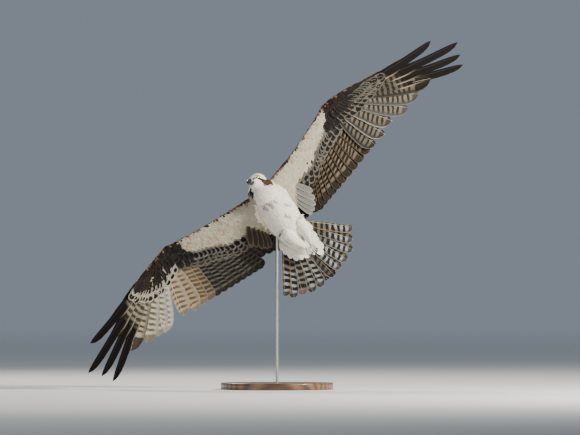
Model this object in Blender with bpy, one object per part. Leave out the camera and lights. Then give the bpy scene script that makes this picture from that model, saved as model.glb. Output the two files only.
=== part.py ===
# Osprey in banked flight, life size, on a round base with one rod.
# The bird is built in its own frame, +X towards its beak, +Y to its left and +Z out of its back.
# The empty osprey_pose then turns that frame into the pose above the stand.

import math

import bmesh
import bpy
from mathutils import Matrix, Vector

# Display stand
BASE_RADIUS = 0.180
BASE_HEIGHT = 0.022
BASE_BEVEL = 0.004
ROD_RADIUS = 0.0045

# Pose: where the middle of the torso stands, and three turns in degrees. Heading and wing line
# are slopes as the viewer sees them, who looks along +Y.
TORSO_PLACE = Vector((0.017, 0.0, 0.549))
HEADING = 125.0
NOSE_TO_VIEWER = 33.0
WING_LINE = 41.0

# Gap between the faces of neighbouring pieces
GAP = 0.0003

# Torso and tail root: station, half width, top, bottom
TORSO = (
    (-0.172, 0.014, 0.008, 0.009),
    (-0.150, 0.023, 0.016, 0.016),
    (-0.120, 0.034, 0.024, 0.027),
    (-0.080, 0.046, 0.036, 0.042),
    (-0.030, 0.055, 0.045, 0.056),
    (0.020, 0.060, 0.048, 0.062),
    (0.060, 0.057, 0.046, 0.060),
    (0.085, 0.050, 0.043, 0.051),
    (0.105, 0.041, 0.040, 0.040),
)
TAIL_STATION = -0.074
TAIL_END = -0.172
NECK_STATION = 0.105
RING_POINTS = 18
TORSO_STEPS = 13
RUMP_STEPS = 6
NECK_RINGS = 7
NECK_SWELL = 0.012
NECK_END = (0.0265, 0.0250, 0.0250)
NECK_SWAY = Vector((0.003, -0.006, -0.003))

# Head: centre, turns, and sections along its own beak line as station, half width, top, bottom
HEAD_CENTRE = Vector((0.1592, 0.0006, 0.0115))
HEAD_YAW = -35.0
HEAD_PITCH = 26.0
HEAD_ROLL = -27.0
HEAD = (
    (-0.0330, 0.0080, 0.0080, 0.0080),
    (-0.0290, 0.0165, 0.0160, 0.0165),
    (-0.0190, 0.0260, 0.0250, 0.0250),
    (-0.0050, 0.0300, 0.0285, 0.0280),
    (0.0080, 0.0280, 0.0268, 0.0258),
    (0.0190, 0.0222, 0.0205, 0.0205),
    (0.0270, 0.0160, 0.0150, 0.0160),
    (0.0320, 0.0112, 0.0105, 0.0115),
)

# Beak: station, height, droop in degrees, half width, half height
BEAK_UPPER = (
    (0.0310, 0.0030, 0, 0.0096, 0.0070),
    (0.0390, 0.0032, 4, 0.0086, 0.0070),
    (0.0465, 0.0020, 16, 0.0070, 0.0062),
    (0.0525, -0.0012, 40, 0.0052, 0.0048),
    (0.0558, -0.0058, 66, 0.0036, 0.0034),
    (0.0567, -0.0108, 86, 0.0022, 0.0021),
    (0.0563, -0.0155, 98, 0.0006, 0.0006),
)
BEAK_LOWER = (
    (0.0310, -0.0064, 0, 0.0088, 0.0036),
    (0.0400, -0.0062, -2, 0.0072, 0.0032),
    (0.0470, -0.0058, -6, 0.0050, 0.0025),
    (0.0508, -0.0055, -8, 0.0022, 0.0012),
)
CERE_STATION = 0.0385
BEAK_FLATNESS = 0.75

# Eyes
EYE_RADIUS = 0.0078
EYE_CENTRE = Vector((0.0125, 0.0170, 0.0050))
EYE_LINE = Vector((0.50, 0.86, 0.10))
LID_OPENING = 0.0058
LID_RADIUS = 0.0010
LID_STEPS = 12

# Mouth line and nostrils
GAPE_STATIONS = (0.034, 0.028, 0.021, 0.013)
GAPE_HEIGHT = 0.0048
GAPE_RADIUS = 0.0009
NOSTRIL = Vector((0.0352, 0.0082, 0.0062))
NOSTRIL_RADIUS = 0.0016

# Wing bones, shared by both sides
SHOULDER = Vector((0.065, 0.045, 0.025))
HUMERUS = 0.155
ULNA = 0.190
ARM_DIHEDRAL = 12.0
HAND_DIHEDRAL = -5.0

# What differs between the two wings: side, reach of the folded arm from shoulder to wrist and its
# forward sweep, backward sweep of the hand bone, and length and sweep of each quill. The quills
# start with the innermost primary, and the secondaries give their first and last.
WINGS = {
    "left": {
        "side": 1,
        "reach": 0.311,
        "sweep": 17.5,
        "hand_sweep": 6.8,
        "leading_root": 0.127,
        "hand_margin": 0.016,
        "primaries": (0.231, 0.228, 0.221, 0.255, 0.274, 0.306, 0.418, 0.401, 0.388, 0.288),
        "primary_sweep": (79, 70, 60, 49, 40, 32, 30, 25.5, 19.5, 11),
        "secondaries": (0.232, 0.150),
        "secondary_bow": 0.007,
        "secondary_sweep": (77, 120),
        "tertials": (0.141, 0.135, 0.133, 0.100),
        "tertial_sweep": (120, 119, 117, 115),
    },
    "right": {
        "side": -1,
        "reach": 0.321,
        "sweep": 14.1,
        "hand_sweep": 7.5,
        "leading_root": 0.125,
        "hand_margin": 0.009,
        "primaries": (0.242, 0.227, 0.250, 0.250, 0.259, 0.278, 0.378, 0.359, 0.354, 0.258),
        "primary_sweep": (86, 78, 61.5, 58, 51, 41, 37.5, 31, 23.5, 13),
        "secondaries": (0.235, 0.168),
        "secondary_bow": 0.002,
        "secondary_sweep": (86.5, 113),
        "tertials": (0.132, 0.132, 0.142, 0.156),
        "tertial_sweep": (112, 110, 109, 107),
    },
}
SECONDARY_COUNT = 10
SECONDARY_START = 0.65
ARM_QUILL_SETBACK = 0.011
HAND_QUILL_SETBACK = 0.004
PRIMARY_START = 0.023
PRIMARY_STEP = 0.0117
TERTIAL_START = 0.10
TERTIAL_STEP = 0.17

# Feathers: how strongly each bends upwards, as rise over squared length, from the innermost
# primary outwards, and the slope of each blade, whose leading web lies high
PRIMARY_RISE = (-0.09, -0.07, -0.03, 0.04, 0.10, 0.155, 0.20, 0.235, 0.27, 0.40)
ARM_RISE = -0.10
WEB_SLOPE = 6.5
ROOT_THICKNESS = 0.0008
TIP_THICKNESS = 0.0005
SECONDARY_WIDTH = 0.044
PRIMARY_WIDTH = 0.050
FINGER_WIDTH = 0.042
FINGER_FROM = 6

# Outlines of feathers: share of the length, then outer and inner web as shares of the width
SECONDARY_WEB = (
    (0.00, 0.15, 0.15),
    (0.20, 0.32, 0.50),
    (0.86, 0.36, 0.62),
    (0.955, 0.26, 0.44),
    (1.00, 0.07, 0.14),
)
PRIMARY_WEB = (
    (0.00, 0.10, 0.13),
    (0.18, 0.22, 0.44),
    (0.50, 0.28, 0.66),
    (0.82, 0.28, 0.71),
    (0.94, 0.19, 0.49),
    (1.00, 0.05, 0.08),
)
FINGER_WEB = (
    (0.00, 0.12, 0.15),
    (0.15, 0.22, 0.45),
    (0.46, 0.25, 0.62),
    (0.60, 0.18, 0.49),
    (0.85, 0.16, 0.43),
    (0.95, 0.11, 0.28),
    (1.00, 0.03, 0.04),
)
COVERT_WEB = (
    (0.00, 0.30, 0.30),
    (0.40, 0.48, 0.50),
    (0.85, 0.42, 0.44),
    (1.00, 0.10, 0.10),
)

BLADES = {
    "secondary": (SECONDARY_WIDTH, SECONDARY_WEB),
    "primary": (PRIMARY_WIDTH, PRIMARY_WEB),
    "finger": (FINGER_WIDTH, FINGER_WEB),
}

# Greater coverts: width, length on the arm, length over the innermost and outermost primary,
# how far before the quill they start, and how far over or under it
COVERT_WIDTH = 0.026
ARM_COVERT = 0.080
HAND_COVERT = (0.080, 0.100)
COVERT_AHEAD = 0.010
COVERT_OFFSET = 0.0044

# Wing sections: share of the way from shoulder to wrist, or on the hand the distance past the
# wrist, then thickness and how far the flesh reaches behind the bones
ARM_SECTIONS = (
    (-0.02, 0.034, 0.090),
    (0.10, 0.032, 0.078),
    (0.25, 0.026, 0.058),
    (0.40, 0.021, 0.042),
    (0.55, 0.018, 0.034),
    (0.70, 0.016, 0.032),
    (0.85, 0.015, 0.028),
    (1.00, 0.014, 0.026),
)
HAND_SECTIONS = (
    (0.030, 0.013, 0.024),
    (0.065, 0.012, 0.022),
    (0.100, 0.011, 0.020),
    (0.135, 0.009, 0.018),
    (0.165, 0.006, 0.014),
    (0.185, 0.003, 0.008),
)
# Front edge: how far it stands before the wrist, how it curves there from the body, and where
# along the hand its margin before the bone ends and starts to fade
LEADING_MARGIN = 0.009
LEADING_CURVE = 2.0
MARGIN_END = 0.200
MARGIN_FADE = 0.090
AIRFOIL = ((0.0, 0.0), (0.02, 0.32), (0.09, 0.68), (0.25, 1.0), (0.55, 0.92), (0.80, 0.74), (1.0, 0.52))

# Tail: the point its feathers fan out from, its droop, where the feathers start from that point,
# and each feather's turn in degrees and reach, from the bird's right to its left
TAIL_CENTRE = Vector((-0.0212, 0.0062, 0.0321))
TAIL_DROOP = 15.0
TAIL_START = 0.064
TAIL_TURNS = (-36.4, -29.8, -22.6, -15.2, -7.8, -1.5, 4.0, 11.0, 18.5, 26.3, 33.5, 42.3)
TAIL_REACHES = (0.256, 0.265, 0.264, 0.268, 0.267, 0.262, 0.266, 0.263, 0.265, 0.265, 0.252, 0.244)
TAIL_TOP = 5
TAIL_TOP_RAISE = 0.0026
TAIL_WIDTH = 0.040
TAIL_WEB = (
    (0.00, 0.16, 0.20),
    (0.30, 0.37, 0.47),
    (0.88, 0.41, 0.52),
    (0.965, 0.27, 0.34),
    (1.00, 0.07, 0.08),
)
TAIL_EDGE_WEB = (
    (0.00, 0.08, 0.20),
    (0.30, 0.11, 0.48),
    (0.88, 0.13, 0.56),
    (0.965, 0.10, 0.38),
    (1.00, 0.03, 0.10),
)
# Rump feathers that hold the outer tail feathers: place behind the fan's point, half width,
# half thickness
RUMP = (
    (0.048, 0.036, 0.013),
    (0.066, 0.048, 0.011),
    (0.086, 0.058, 0.008),
    (0.104, 0.060, 0.005),
    (0.120, 0.048, 0.003),
)
TAIL_COVERT_COUNT = 8
TAIL_COVERT_WIDTH = 0.024
TAIL_COVERT_TURNS = (-28.0, 33.0)
TAIL_COVERT_START = 0.080
UNDER_COVERT_REACH = (0.200, 0.145)
UPPER_COVERT_REACH = (0.165, 0.125)
UNDER_COVERT_DROP = 0.0068
UPPER_COVERT_RAISE = 0.0068

# Legs, from the thigh to the ankle: x, y off the mid-line, z and radius
LEG = (
    (-0.012, 0.026, -0.036, 0.022),
    (-0.040, 0.025, -0.045, 0.022),
    (-0.068, 0.021, -0.050, 0.017),
    (-0.092, 0.014, -0.053, 0.011),
    (-0.108, 0.0095, -0.053, 0.0065),
)
FEET_SHIFT = 0.0086
FOOT_LENGTH = 0.010
FOOT_RADII = (0.0062, 0.0058)
TOE_RADIUS = 0.0034
TOE_SINK = 0.002
TOE_ARCH = 0.001
TOE_STEP = 0.0062
# Toes: place across the foot in steps, height over the ankle, length, and the turn of the claw in
# degrees, upwards where positive. The last is the hind toe, folded over the other three.
TOES = (
    (-1.0, -0.001, 0.029, 45),
    (0.0, -0.001, 0.031, 45),
    (1.0, -0.001, 0.028, 45),
    (0.5, 0.0062, 0.018, -20),
)
CLAW_LENGTH = 0.027
CLAW_RADII = (0.0024, 0.0021, 0.0016, 0.0010, 0.0004)
CLAW_CLEAR = 0.0012
CLAW_GATHER = 0.25


def clear_scene():
    for old in list(bpy.data.objects):
        bpy.data.objects.remove(old, do_unlink=True)


def finish(name, colour, roughness, metallic=0.0):
    material = bpy.data.materials.new(name)
    material.use_nodes = True
    shader = material.node_tree.nodes["Principled BSDF"]
    shader.inputs["Base Color"].default_value = (*colour, 1.0)
    shader.inputs["Roughness"].default_value = roughness
    shader.inputs["Metallic"].default_value = metallic
    return material


def solid(name, points, faces):
    mesh = bpy.data.meshes.new(name)
    mesh.from_pydata([tuple(p) for p in points], [], faces)
    form = bmesh.new()
    form.from_mesh(mesh)
    bmesh.ops.recalc_face_normals(form, faces=form.faces)
    form.to_mesh(mesh)
    form.free()
    piece = bpy.data.objects.new(name, mesh)
    bpy.context.scene.collection.objects.link(piece)
    return piece


def loft(name, rings):
    """Closed body through rings of equal point counts, with flat ends."""
    count = len(rings[0])
    points = [p for ring in rings for p in ring]
    faces = []
    for r in range(len(rings) - 1):
        for k in range(count):
            a = r * count + k
            b = r * count + (k + 1) % count
            faces.append((a, b, b + count, a + count))
    faces.append(tuple(range(count)))
    faces.append(tuple(range(len(points) - 1, len(points) - 1 - count, -1)))
    return solid(name, points, faces)


def between(table, station):
    """Row of a table at a station, on a smooth curve through its rows."""
    rows = [tuple(float(v) for v in row) for row in table]
    last = len(rows) - 2
    i = max(0, min(last, sum(1 for row in rows[1:-1] if row[0] <= station)))
    p1, p2 = rows[i], rows[i + 1]
    p0 = rows[i - 1] if i > 0 else p1
    p3 = rows[i + 2] if i < last else p2
    width = p2[0] - p1[0]
    t = (station - p1[0]) / width
    values = []
    for k in range(1, len(p1)):
        m1 = (p2[k] - p0[k]) / (p2[0] - p0[0]) * width
        m2 = (p3[k] - p1[k]) / (p3[0] - p1[0]) * width
        values.append(
            (2 * t**3 - 3 * t**2 + 1) * p1[k]
            + (t**3 - 2 * t**2 + t) * m1
            + (3 * t**2 - 2 * t**3) * p2[k]
            + (t**3 - t**2) * m2
        )
    return values


def oval(centre, across, up, half_width, top, bottom, count=RING_POINTS):
    """Ring that is rounder above than below, or the other way."""
    ring = []
    for k in range(count):
        angle = 2 * math.pi * k / count
        height = math.sin(angle) * (top if math.sin(angle) > 0 else bottom)
        ring.append(centre + across * (math.cos(angle) * half_width) + up * height)
    return ring


def settled(piece):
    """Applies a piece's modifiers and keeps only its largest closed surface."""
    graph = bpy.context.evaluated_depsgraph_get()
    mesh = bpy.data.meshes.new_from_object(piece.evaluated_get(graph))
    piece.modifiers.clear()
    piece.data = mesh
    form = bmesh.new()
    form.from_mesh(mesh)
    bmesh.ops.remove_doubles(form, verts=form.verts, dist=1e-6)
    bmesh.ops.triangulate(form, faces=form.faces)
    unseen = set(form.faces)
    islands = []
    while unseen:
        start = unseen.pop()
        island = [start]
        queue = [start]
        while queue:
            for edge in queue.pop().edges:
                for face in edge.link_faces:
                    if face in unseen:
                        unseen.remove(face)
                        island.append(face)
                        queue.append(face)
        islands.append(island)
    islands.sort(key=lambda island: sum(face.calc_area() for face in island))
    dropped = [face for island in islands[:-1] for face in island]
    bmesh.ops.delete(form, geom=dropped, context="FACES")
    loose = [v for v in form.verts if not v.link_faces]
    bmesh.ops.delete(form, geom=loose, context="VERTS")
    form.to_mesh(mesh)
    form.free()
    return piece


def fuse(piece, additions):
    """Joins additions to a piece as one closed body."""
    group = bpy.data.collections.new(piece.name + "_additions")
    bpy.context.scene.collection.children.link(group)
    for extra in additions:
        bpy.context.scene.collection.objects.unlink(extra)
        group.objects.link(extra)
    union = piece.modifiers.new("union", "BOOLEAN")
    union.operation = "UNION"
    union.operand_type = "COLLECTION"
    union.collection = group
    union.solver = "MANIFOLD"
    settled(piece)
    for extra in additions:
        bpy.data.objects.remove(extra, do_unlink=True)
    bpy.data.collections.remove(group)
    return piece


def carve(piece, cutters):
    """Takes cutters out of a piece."""
    for cutter in cutters:
        cut = piece.modifiers.new("cut", "BOOLEAN")
        cut.operation = "DIFFERENCE"
        cut.object = cutter
        cut.solver = "MANIFOLD"
    settled(piece)
    for cutter in cutters:
        bpy.data.objects.remove(cutter, do_unlink=True)
    return piece


def trim(piece, point, keep_side):
    """Cuts a piece by a plane and keeps what lies along keep_side from it."""
    form = bmesh.new()
    form.from_mesh(piece.data)
    every = form.verts[:] + form.edges[:] + form.faces[:]
    cut = bmesh.ops.bisect_plane(
        form, geom=every, plane_co=point, plane_no=-keep_side, clear_outer=True, dist=1e-7
    )
    rim = [e for e in cut["geom_cut"] if isinstance(e, bmesh.types.BMEdge)]
    bmesh.ops.holes_fill(form, edges=rim)
    bmesh.ops.recalc_face_normals(form, faces=form.faces)
    form.to_mesh(piece.data)
    form.free()
    return settled(piece)


def pose_matrix():
    heading, pitch, line = (math.radians(v) for v in (HEADING, NOSE_TO_VIEWER, WING_LINE))
    roll = math.atan(math.cos(pitch) * math.cos(heading - line) / math.sin(pitch))
    forward = Vector(
        (math.cos(pitch) * math.cos(heading), -math.sin(pitch), math.cos(pitch) * math.sin(heading))
    )
    left = Vector((math.cos(roll) * math.cos(line), math.sin(roll), math.cos(roll) * math.sin(line)))
    up = forward.cross(left)
    turn = Matrix((forward, left, up)).transposed()
    return Matrix.Translation(TORSO_PLACE) @ turn.to_4x4()


FORWARD = Vector((1, 0, 0))
LEFT = Vector((0, 1, 0))
UP = Vector((0, 0, 1))


def trunk_stations(start, end):
    """Ring stations that the trunk and every cutter made from it share."""
    stations = []
    for first, last, steps in (
        (TAIL_END, TAIL_STATION, RUMP_STEPS),
        (TAIL_STATION, NECK_STATION, TORSO_STEPS),
    ):
        stations += [first + (last - first) * k / steps for k in range(steps)]
    stations.append(NECK_STATION)
    return [x for x in stations if start - GAP / 2 < x < end + GAP / 2]


def trunk(name, start, end, grow=0.0):
    """Torso between two stations, or a copy of it that is larger all round by grow."""
    rings = []
    for x in trunk_stations(start, end):
        half_width, top, bottom = between(TORSO, x)
        centre = Vector((x, 0, 0))
        rings.append(oval(centre, LEFT, UP, half_width + grow, top + grow, bottom + grow))
    return loft(name, rings)


def head_frame():
    turn = (
        Matrix.Rotation(math.radians(HEAD_YAW), 4, "Z")
        @ Matrix.Rotation(math.radians(HEAD_PITCH), 4, "Y")
        @ Matrix.Rotation(math.radians(HEAD_ROLL), 4, "X")
    )
    return Matrix.Translation(HEAD_CENTRE) @ turn


def skull(name, grow=0.0, steps=10):
    """Feathered head without its beak, in the head's own frame."""
    rings = []
    start, end = HEAD[0][0], HEAD[-1][0]
    for k in range(steps + 1):
        x = start + (end - start) * k / steps
        half_width, top, bottom = between(HEAD, x)
        centre = Vector((x + grow * (2.0 * k / steps - 1), 0, 0))
        rings.append(oval(centre, LEFT, UP, half_width + grow, top + grow, bottom + grow))
    return loft(name, rings)


def neck_form(name, grow=0.0):
    """From the torso's front end into the head, swelled towards the throat."""
    start = Vector((NECK_STATION + GAP - grow * 2, 0, 0))
    half_width, top, bottom = between(TORSO, NECK_STATION)
    rings = []
    for k in range(NECK_RINGS + 1):
        t = k / NECK_RINGS
        ease = t * t * (3 - 2 * t)
        bulge = math.sin(math.pi * t)
        centre = start.lerp(HEAD_CENTRE, t)
        centre.z = HEAD_CENTRE.z * ease
        centre += NECK_SWAY * bulge
        extra = grow + NECK_SWELL * bulge
        size = [a + (b - a) * ease + extra for a, b in zip((half_width, top, bottom), NECK_END)]
        rings.append(oval(centre, LEFT, UP, *size))
    return loft(name, rings)


def neck():
    cutter = skull("neck_cut", grow=GAP)
    cutter.data.transform(head_frame())
    return carve(neck_form("neck"), [cutter])


def beak(name, rows, under, count=14, grow=0.0):
    rings = []
    for x, z, droop, half_width, half_height in rows:
        angle = math.radians(droop)
        up = Vector((math.sin(angle), 0, math.cos(angle)))
        centre = Vector((x, 0, z))
        above = half_height + grow
        below = half_height * under + grow
        rings.append(oval(centre, LEFT, up, half_width + grow, above, below, count))
    return loft(name, rings)


def ball(name, centre, radius, rings=8, points=14):
    mesh = bpy.data.meshes.new(name)
    form = bmesh.new()
    bmesh.ops.create_uvsphere(form, u_segments=points, v_segments=rings, radius=radius)
    bmesh.ops.translate(form, verts=form.verts, vec=centre)
    form.to_mesh(mesh)
    form.free()
    piece = bpy.data.objects.new(name, mesh)
    bpy.context.scene.collection.objects.link(piece)
    return piece


def tube(name, centres, radii, count=10):
    """Round bar along centres, each ring square to the run of its neighbours."""
    rings = []
    for k, centre in enumerate(centres):
        run = (centres[min(k + 1, len(centres) - 1)] - centres[max(k - 1, 0)]).normalized()
        side = run.cross(UP if abs(run.z) < 0.9 else LEFT).normalized()
        rise = side.cross(run)
        rings.append(oval(centre, side, rise, radii[k], radii[k], radii[k], count))
    return loft(name, rings)


def wing_bones(wing):
    """Shoulder, elbow, wrist and the directions of one wing."""
    side = wing["side"]
    arm, hand = math.radians(ARM_DIHEDRAL), math.radians(HAND_DIHEDRAL)
    span = Vector((0, side * math.cos(arm), math.sin(arm)))
    hand_span = Vector((0, side * math.cos(hand), math.sin(hand)))
    shoulder = Vector((SHOULDER.x, side * SHOULDER.y, SHOULDER.z))
    reach, sweep = wing["reach"], math.radians(wing["sweep"])
    wrist = shoulder + (FORWARD * math.sin(sweep) + span * math.cos(sweep)) * reach
    fold = math.acos((HUMERUS**2 + reach**2 - ULNA**2) / (2 * HUMERUS * reach))
    elbow = shoulder + (FORWARD * math.sin(sweep - fold) + span * math.cos(sweep - fold)) * HUMERUS
    back = math.radians(wing["hand_sweep"])
    bone = hand_span * math.cos(back) - FORWARD * math.sin(back)
    return {
        "shoulder": shoulder,
        "elbow": elbow,
        "wrist": wrist,
        "span": span,
        "hand_span": hand_span,
        "up": Vector((0, -side * math.sin(arm), math.cos(arm))),
        "hand_up": Vector((0, -side * math.sin(hand), math.cos(hand))),
        "hand_bone": bone,
    }


def quills(wing, bones):
    """Flight feathers of the hand and of the arm, each as root, direction, length and rise."""
    hand = []
    for i, (length, sweep) in enumerate(zip(wing["primaries"], wing["primary_sweep"])):
        angle = math.radians(sweep)
        root = bones["wrist"] + bones["hand_bone"] * (PRIMARY_START + PRIMARY_STEP * i)
        root = root - FORWARD * HAND_QUILL_SETBACK
        along = bones["hand_span"] * math.cos(angle) - FORWARD * math.sin(angle)
        hand.append((root, along, length, PRIMARY_RISE[i]))
    arm = []
    for j in range(SECONDARY_COUNT):
        share = j / (SECONDARY_COUNT - 1)
        length = wing["secondaries"][0] * (1 - share) + wing["secondaries"][1] * share
        length -= wing["secondary_bow"] * 4 * share * (1 - share)
        sweep = wing["secondary_sweep"][0] * (1 - share) + wing["secondary_sweep"][1] * share
        angle = math.radians(sweep)
        root = bones["wrist"].lerp(bones["elbow"], (j + SECONDARY_START) / SECONDARY_COUNT)
        root = root - FORWARD * ARM_QUILL_SETBACK
        along = bones["span"] * math.cos(angle) - FORWARD * math.sin(angle)
        arm.append((root, along, length, ARM_RISE))
    for j, (length, sweep) in enumerate(zip(wing["tertials"], wing["tertial_sweep"])):
        angle = math.radians(sweep)
        root = bones["elbow"].lerp(bones["shoulder"], TERTIAL_START + TERTIAL_STEP * j)
        root = root - FORWARD * ARM_QUILL_SETBACK
        along = bones["span"] * math.cos(angle) - FORWARD * math.sin(angle)
        arm.append((root, along, length, ARM_RISE))
    return hand, arm


def vane(quill, up, side, width, web, slope=WEB_SLOPE):
    """Thin closed feather. Its outer web faces side and lies high, so that its inner web passes
    under the next feather inwards."""
    root, along, length, rise = quill
    out = along.cross(up) * side
    tilt = math.radians(slope)
    across = out * math.cos(tilt) + up * math.sin(tilt)
    normal = up * math.cos(tilt) - out * math.sin(tilt)
    points = []
    for share, outer, inner in web:
        reach = share * length
        shaft = root + along * reach + up * (rise * reach**2)
        half = normal * ((ROOT_THICKNESS + (TIP_THICKNESS - ROOT_THICKNESS) * share) / 2)
        front = shaft + across * (outer * width)
        rear = shaft - across * (inner * width)
        points += [front + half, rear + half, rear - half, front - half]
    faces = [(0, 3, 2), (0, 2, 1)]
    for a in range(0, len(points) - 4, 4):
        b = a + 4
        faces += [(a, a + 1, b + 1), (a, b + 1, b)]
        faces += [(a + 3, b + 2, a + 2), (a + 3, b + 3, b + 2)]
        faces += [(a + 1, a + 2, b + 2), (a + 1, b + 2, b + 1)]
        faces += [(a + 3, a, b), (a + 3, b, b + 3)]
    end = len(points) - 4
    faces += [(end, end + 1, end + 2), (end, end + 2, end + 3)]
    return solid("vane", points, faces)


def coverts(row, up, side, lengths, offset):
    """Greater coverts of a row of flight feathers, over them or, with a negative offset, under them."""
    pieces = []
    for k, (root, along, length, rise) in enumerate(row):
        share = k / (len(row) - 1)
        reach = lengths[0] * (1 - share) + lengths[1] * share
        start = root - along * COVERT_AHEAD + up * offset
        pieces.append(vane((start, along, reach, rise), up, side, COVERT_WIDTH, COVERT_WEB))
    return pieces


def airfoil_ring(front, back, up, thickness):
    upper = []
    lower = []
    for share, height in AIRFOIL:
        point = front.lerp(back, share)
        upper.append(point + up * (height * thickness / 2))
        lower.append(point - up * (height * thickness / 2))
    return upper + lower[:0:-1]


def wing_core(name, wing, bones):
    """Muscle, bone and lining feathers of a wing as one tapering form."""
    rings = []
    wrist_front = bones["wrist"].x + LEADING_MARGIN
    root_front = wing["leading_root"]
    for share, thickness, reach in ARM_SECTIONS:
        line = bones["shoulder"].lerp(bones["wrist"], share)
        turn = bones["shoulder"] + (bones["elbow"] - bones["shoulder"]) * min(1.0, share / 0.5)
        if share > 0.5:
            turn = bones["elbow"].lerp(bones["wrist"], (share - 0.5) / 0.5)
        front = line.copy()
        front.x = root_front + (wrist_front - root_front) * max(0.0, share) ** LEADING_CURVE
        back = line.copy()
        back.x = turn.x - reach
        rings.append(airfoil_ring(front, back, bones["up"], thickness))
    for distance, thickness, reach in HAND_SECTIONS:
        line = bones["wrist"] + bones["hand_bone"] * distance
        margin = wing["hand_margin"] * min(1.0, (MARGIN_END - distance) / MARGIN_FADE)
        front = line + FORWARD * margin
        back = line - FORWARD * reach
        rings.append(airfoil_ring(front, back, bones["hand_up"], thickness))
    return loft(name, rings)


def wing_split(wing, bones):
    """Plane between the innermost primary and the outermost secondary."""
    hand, arm = quills(wing, bones)
    point = (hand[0][0] + arm[0][0]) / 2
    angle = math.radians((wing["primary_sweep"][0] + wing["secondary_sweep"][0]) / 2)
    outward = bones["span"] * math.sin(angle) + FORWARD * math.cos(angle)
    return point, outward.normalized()


def flight(row, up, side, first_finger):
    """Blades of a row of flight feathers."""
    pieces = []
    for k, quill in enumerate(row):
        kind = "finger" if k >= first_finger else "primary" if first_finger < len(row) else "secondary"
        width, web = BLADES[kind]
        pieces.append(vane(quill, up, side, width, web))
    return pieces


def wing_nodes(label):
    wing = WINGS[label]
    side = wing["side"]
    bones = wing_bones(wing)
    hand_quills, arm_quills = quills(wing, bones)
    point, outward = wing_split(wing, bones)
    nodes = []
    for part, row, up, first_finger, reach in (
        ("arm", arm_quills, bones["up"], len(arm_quills), (ARM_COVERT, ARM_COVERT)),
        ("hand", hand_quills, bones["hand_up"], FINGER_FROM, HAND_COVERT),
    ):
        node = wing_core("wing_" + label + "_" + part, wing, bones)
        feathers = flight(row, up, side, first_finger)
        feathers += coverts(row, up, side, reach, COVERT_OFFSET)
        feathers += coverts(row, up, side, reach, -COVERT_OFFSET)
        fuse(node, feathers)
        facing = outward if part == "hand" else -outward
        nodes.append(trim(node, point + facing * (GAP / 2), facing))
    torso_cutter = trunk("wing_cut", TAIL_END, NECK_STATION, grow=GAP)
    carve(nodes[0], [torso_cutter, neck_form("neck_clear", grow=GAP)])
    return nodes


def tail_quill(turn, start, reach, raised, back, up):
    angle = math.radians(turn)
    along = back * math.cos(angle) + LEFT * math.sin(angle)
    return (TAIL_CENTRE + along * start + up * raised, along, reach - start, 0.0)


def tail_node():
    droop = math.radians(TAIL_DROOP)
    back = Vector((-math.cos(droop), 0, -math.sin(droop)))
    up = Vector((-math.sin(droop), 0, math.cos(droop)))
    feathers = []
    for k, (turn, reach) in enumerate(zip(TAIL_TURNS, TAIL_REACHES)):
        top = k == TAIL_TOP
        side = -1 if k <= TAIL_TOP else 1
        quill = tail_quill(turn, TAIL_START, reach, TAIL_TOP_RAISE if top else 0.0, back, up)
        web = TAIL_EDGE_WEB if k in (0, len(TAIL_TURNS) - 1) else TAIL_WEB
        feathers.append(vane(quill, up, side, TAIL_WIDTH, web, 0.0 if top else WEB_SLOPE))
    for raised, reaches in (
        (-UNDER_COVERT_DROP, UNDER_COVERT_REACH),
        (UPPER_COVERT_RAISE, UPPER_COVERT_REACH),
    ):
        for k in range(TAIL_COVERT_COUNT):
            place = 2.0 * k / (TAIL_COVERT_COUNT - 1) - 1
            turn = (TAIL_COVERT_TURNS[0] + TAIL_COVERT_TURNS[1]) / 2
            turn += (TAIL_COVERT_TURNS[1] - TAIL_COVERT_TURNS[0]) / 2 * place
            reach = reaches[0] + (reaches[1] - reaches[0]) * place**2
            side = -1 if place < 0 else 1
            quill = tail_quill(turn, TAIL_COVERT_START, reach, raised, back, up)
            feathers.append(vane(quill, up, side, TAIL_COVERT_WIDTH, COVERT_WEB))
    rump = []
    for distance, half_width, half_depth in RUMP:
        rump.append(oval(TAIL_CENTRE + back * distance, LEFT, up, half_width, half_depth, half_depth))
    feathers.append(loft("rump", rump))
    node = fuse(trunk("tail", TAIL_END, TAIL_STATION), feathers)
    return trim(node, Vector((TAIL_STATION - GAP, 0, 0)), -FORWARD)


def leg_nodes(label, side):
    centres = []
    radii = []
    for x, y, z, radius in LEG:
        share = (LEG[0][0] - x) / (LEG[0][0] - LEG[-1][0])
        centres.append(Vector((x, side * y + FEET_SHIFT * share, z)))
        radii.append(radius)
    ankle = centres[-1]
    leg = tube("leg_" + label, centres + [ankle - FORWARD * FOOT_LENGTH], radii + [LEG[-1][3]], 12)
    trim(leg, ankle, FORWARD)
    carve(leg, [trunk("leg_cut", TAIL_END, NECK_STATION, grow=GAP)])
    foot_run = [ankle - FORWARD * GAP, ankle - FORWARD * FOOT_LENGTH]
    foot = tube("foot_" + label, foot_run, FOOT_RADII, 10)
    toes = []
    claws = []
    for k, (row, height, length, curl) in enumerate(TOES):
        start = ankle + Vector((-TOE_SINK, row * TOE_STEP * 0.6, height * 0.4))
        end = ankle + Vector((-length, row * TOE_STEP, height))
        middle = start.lerp(end, 0.5) + UP * TOE_ARCH
        toes.append(tube("toe", [start, middle, end], [TOE_RADIUS, TOE_RADIUS, TOE_RADIUS * 0.75], 6))
        path = []
        for step in range(len(CLAW_RADII)):
            bend = math.radians(curl) * step / (len(CLAW_RADII) - 1)
            reach = CLAW_LENGTH * math.sin(bend) / math.radians(curl)
            rise = CLAW_LENGTH * (1 - math.cos(bend)) / math.radians(curl)
            path.append(end + Vector((-CLAW_CLEAR - reach, -row * abs(rise) * CLAW_GATHER, rise)))
        claws.append(tube("claw_" + label + "_" + str(k + 1), path, CLAW_RADII, 6))
    fuse(foot, toes)
    return [leg, foot] + claws


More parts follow.
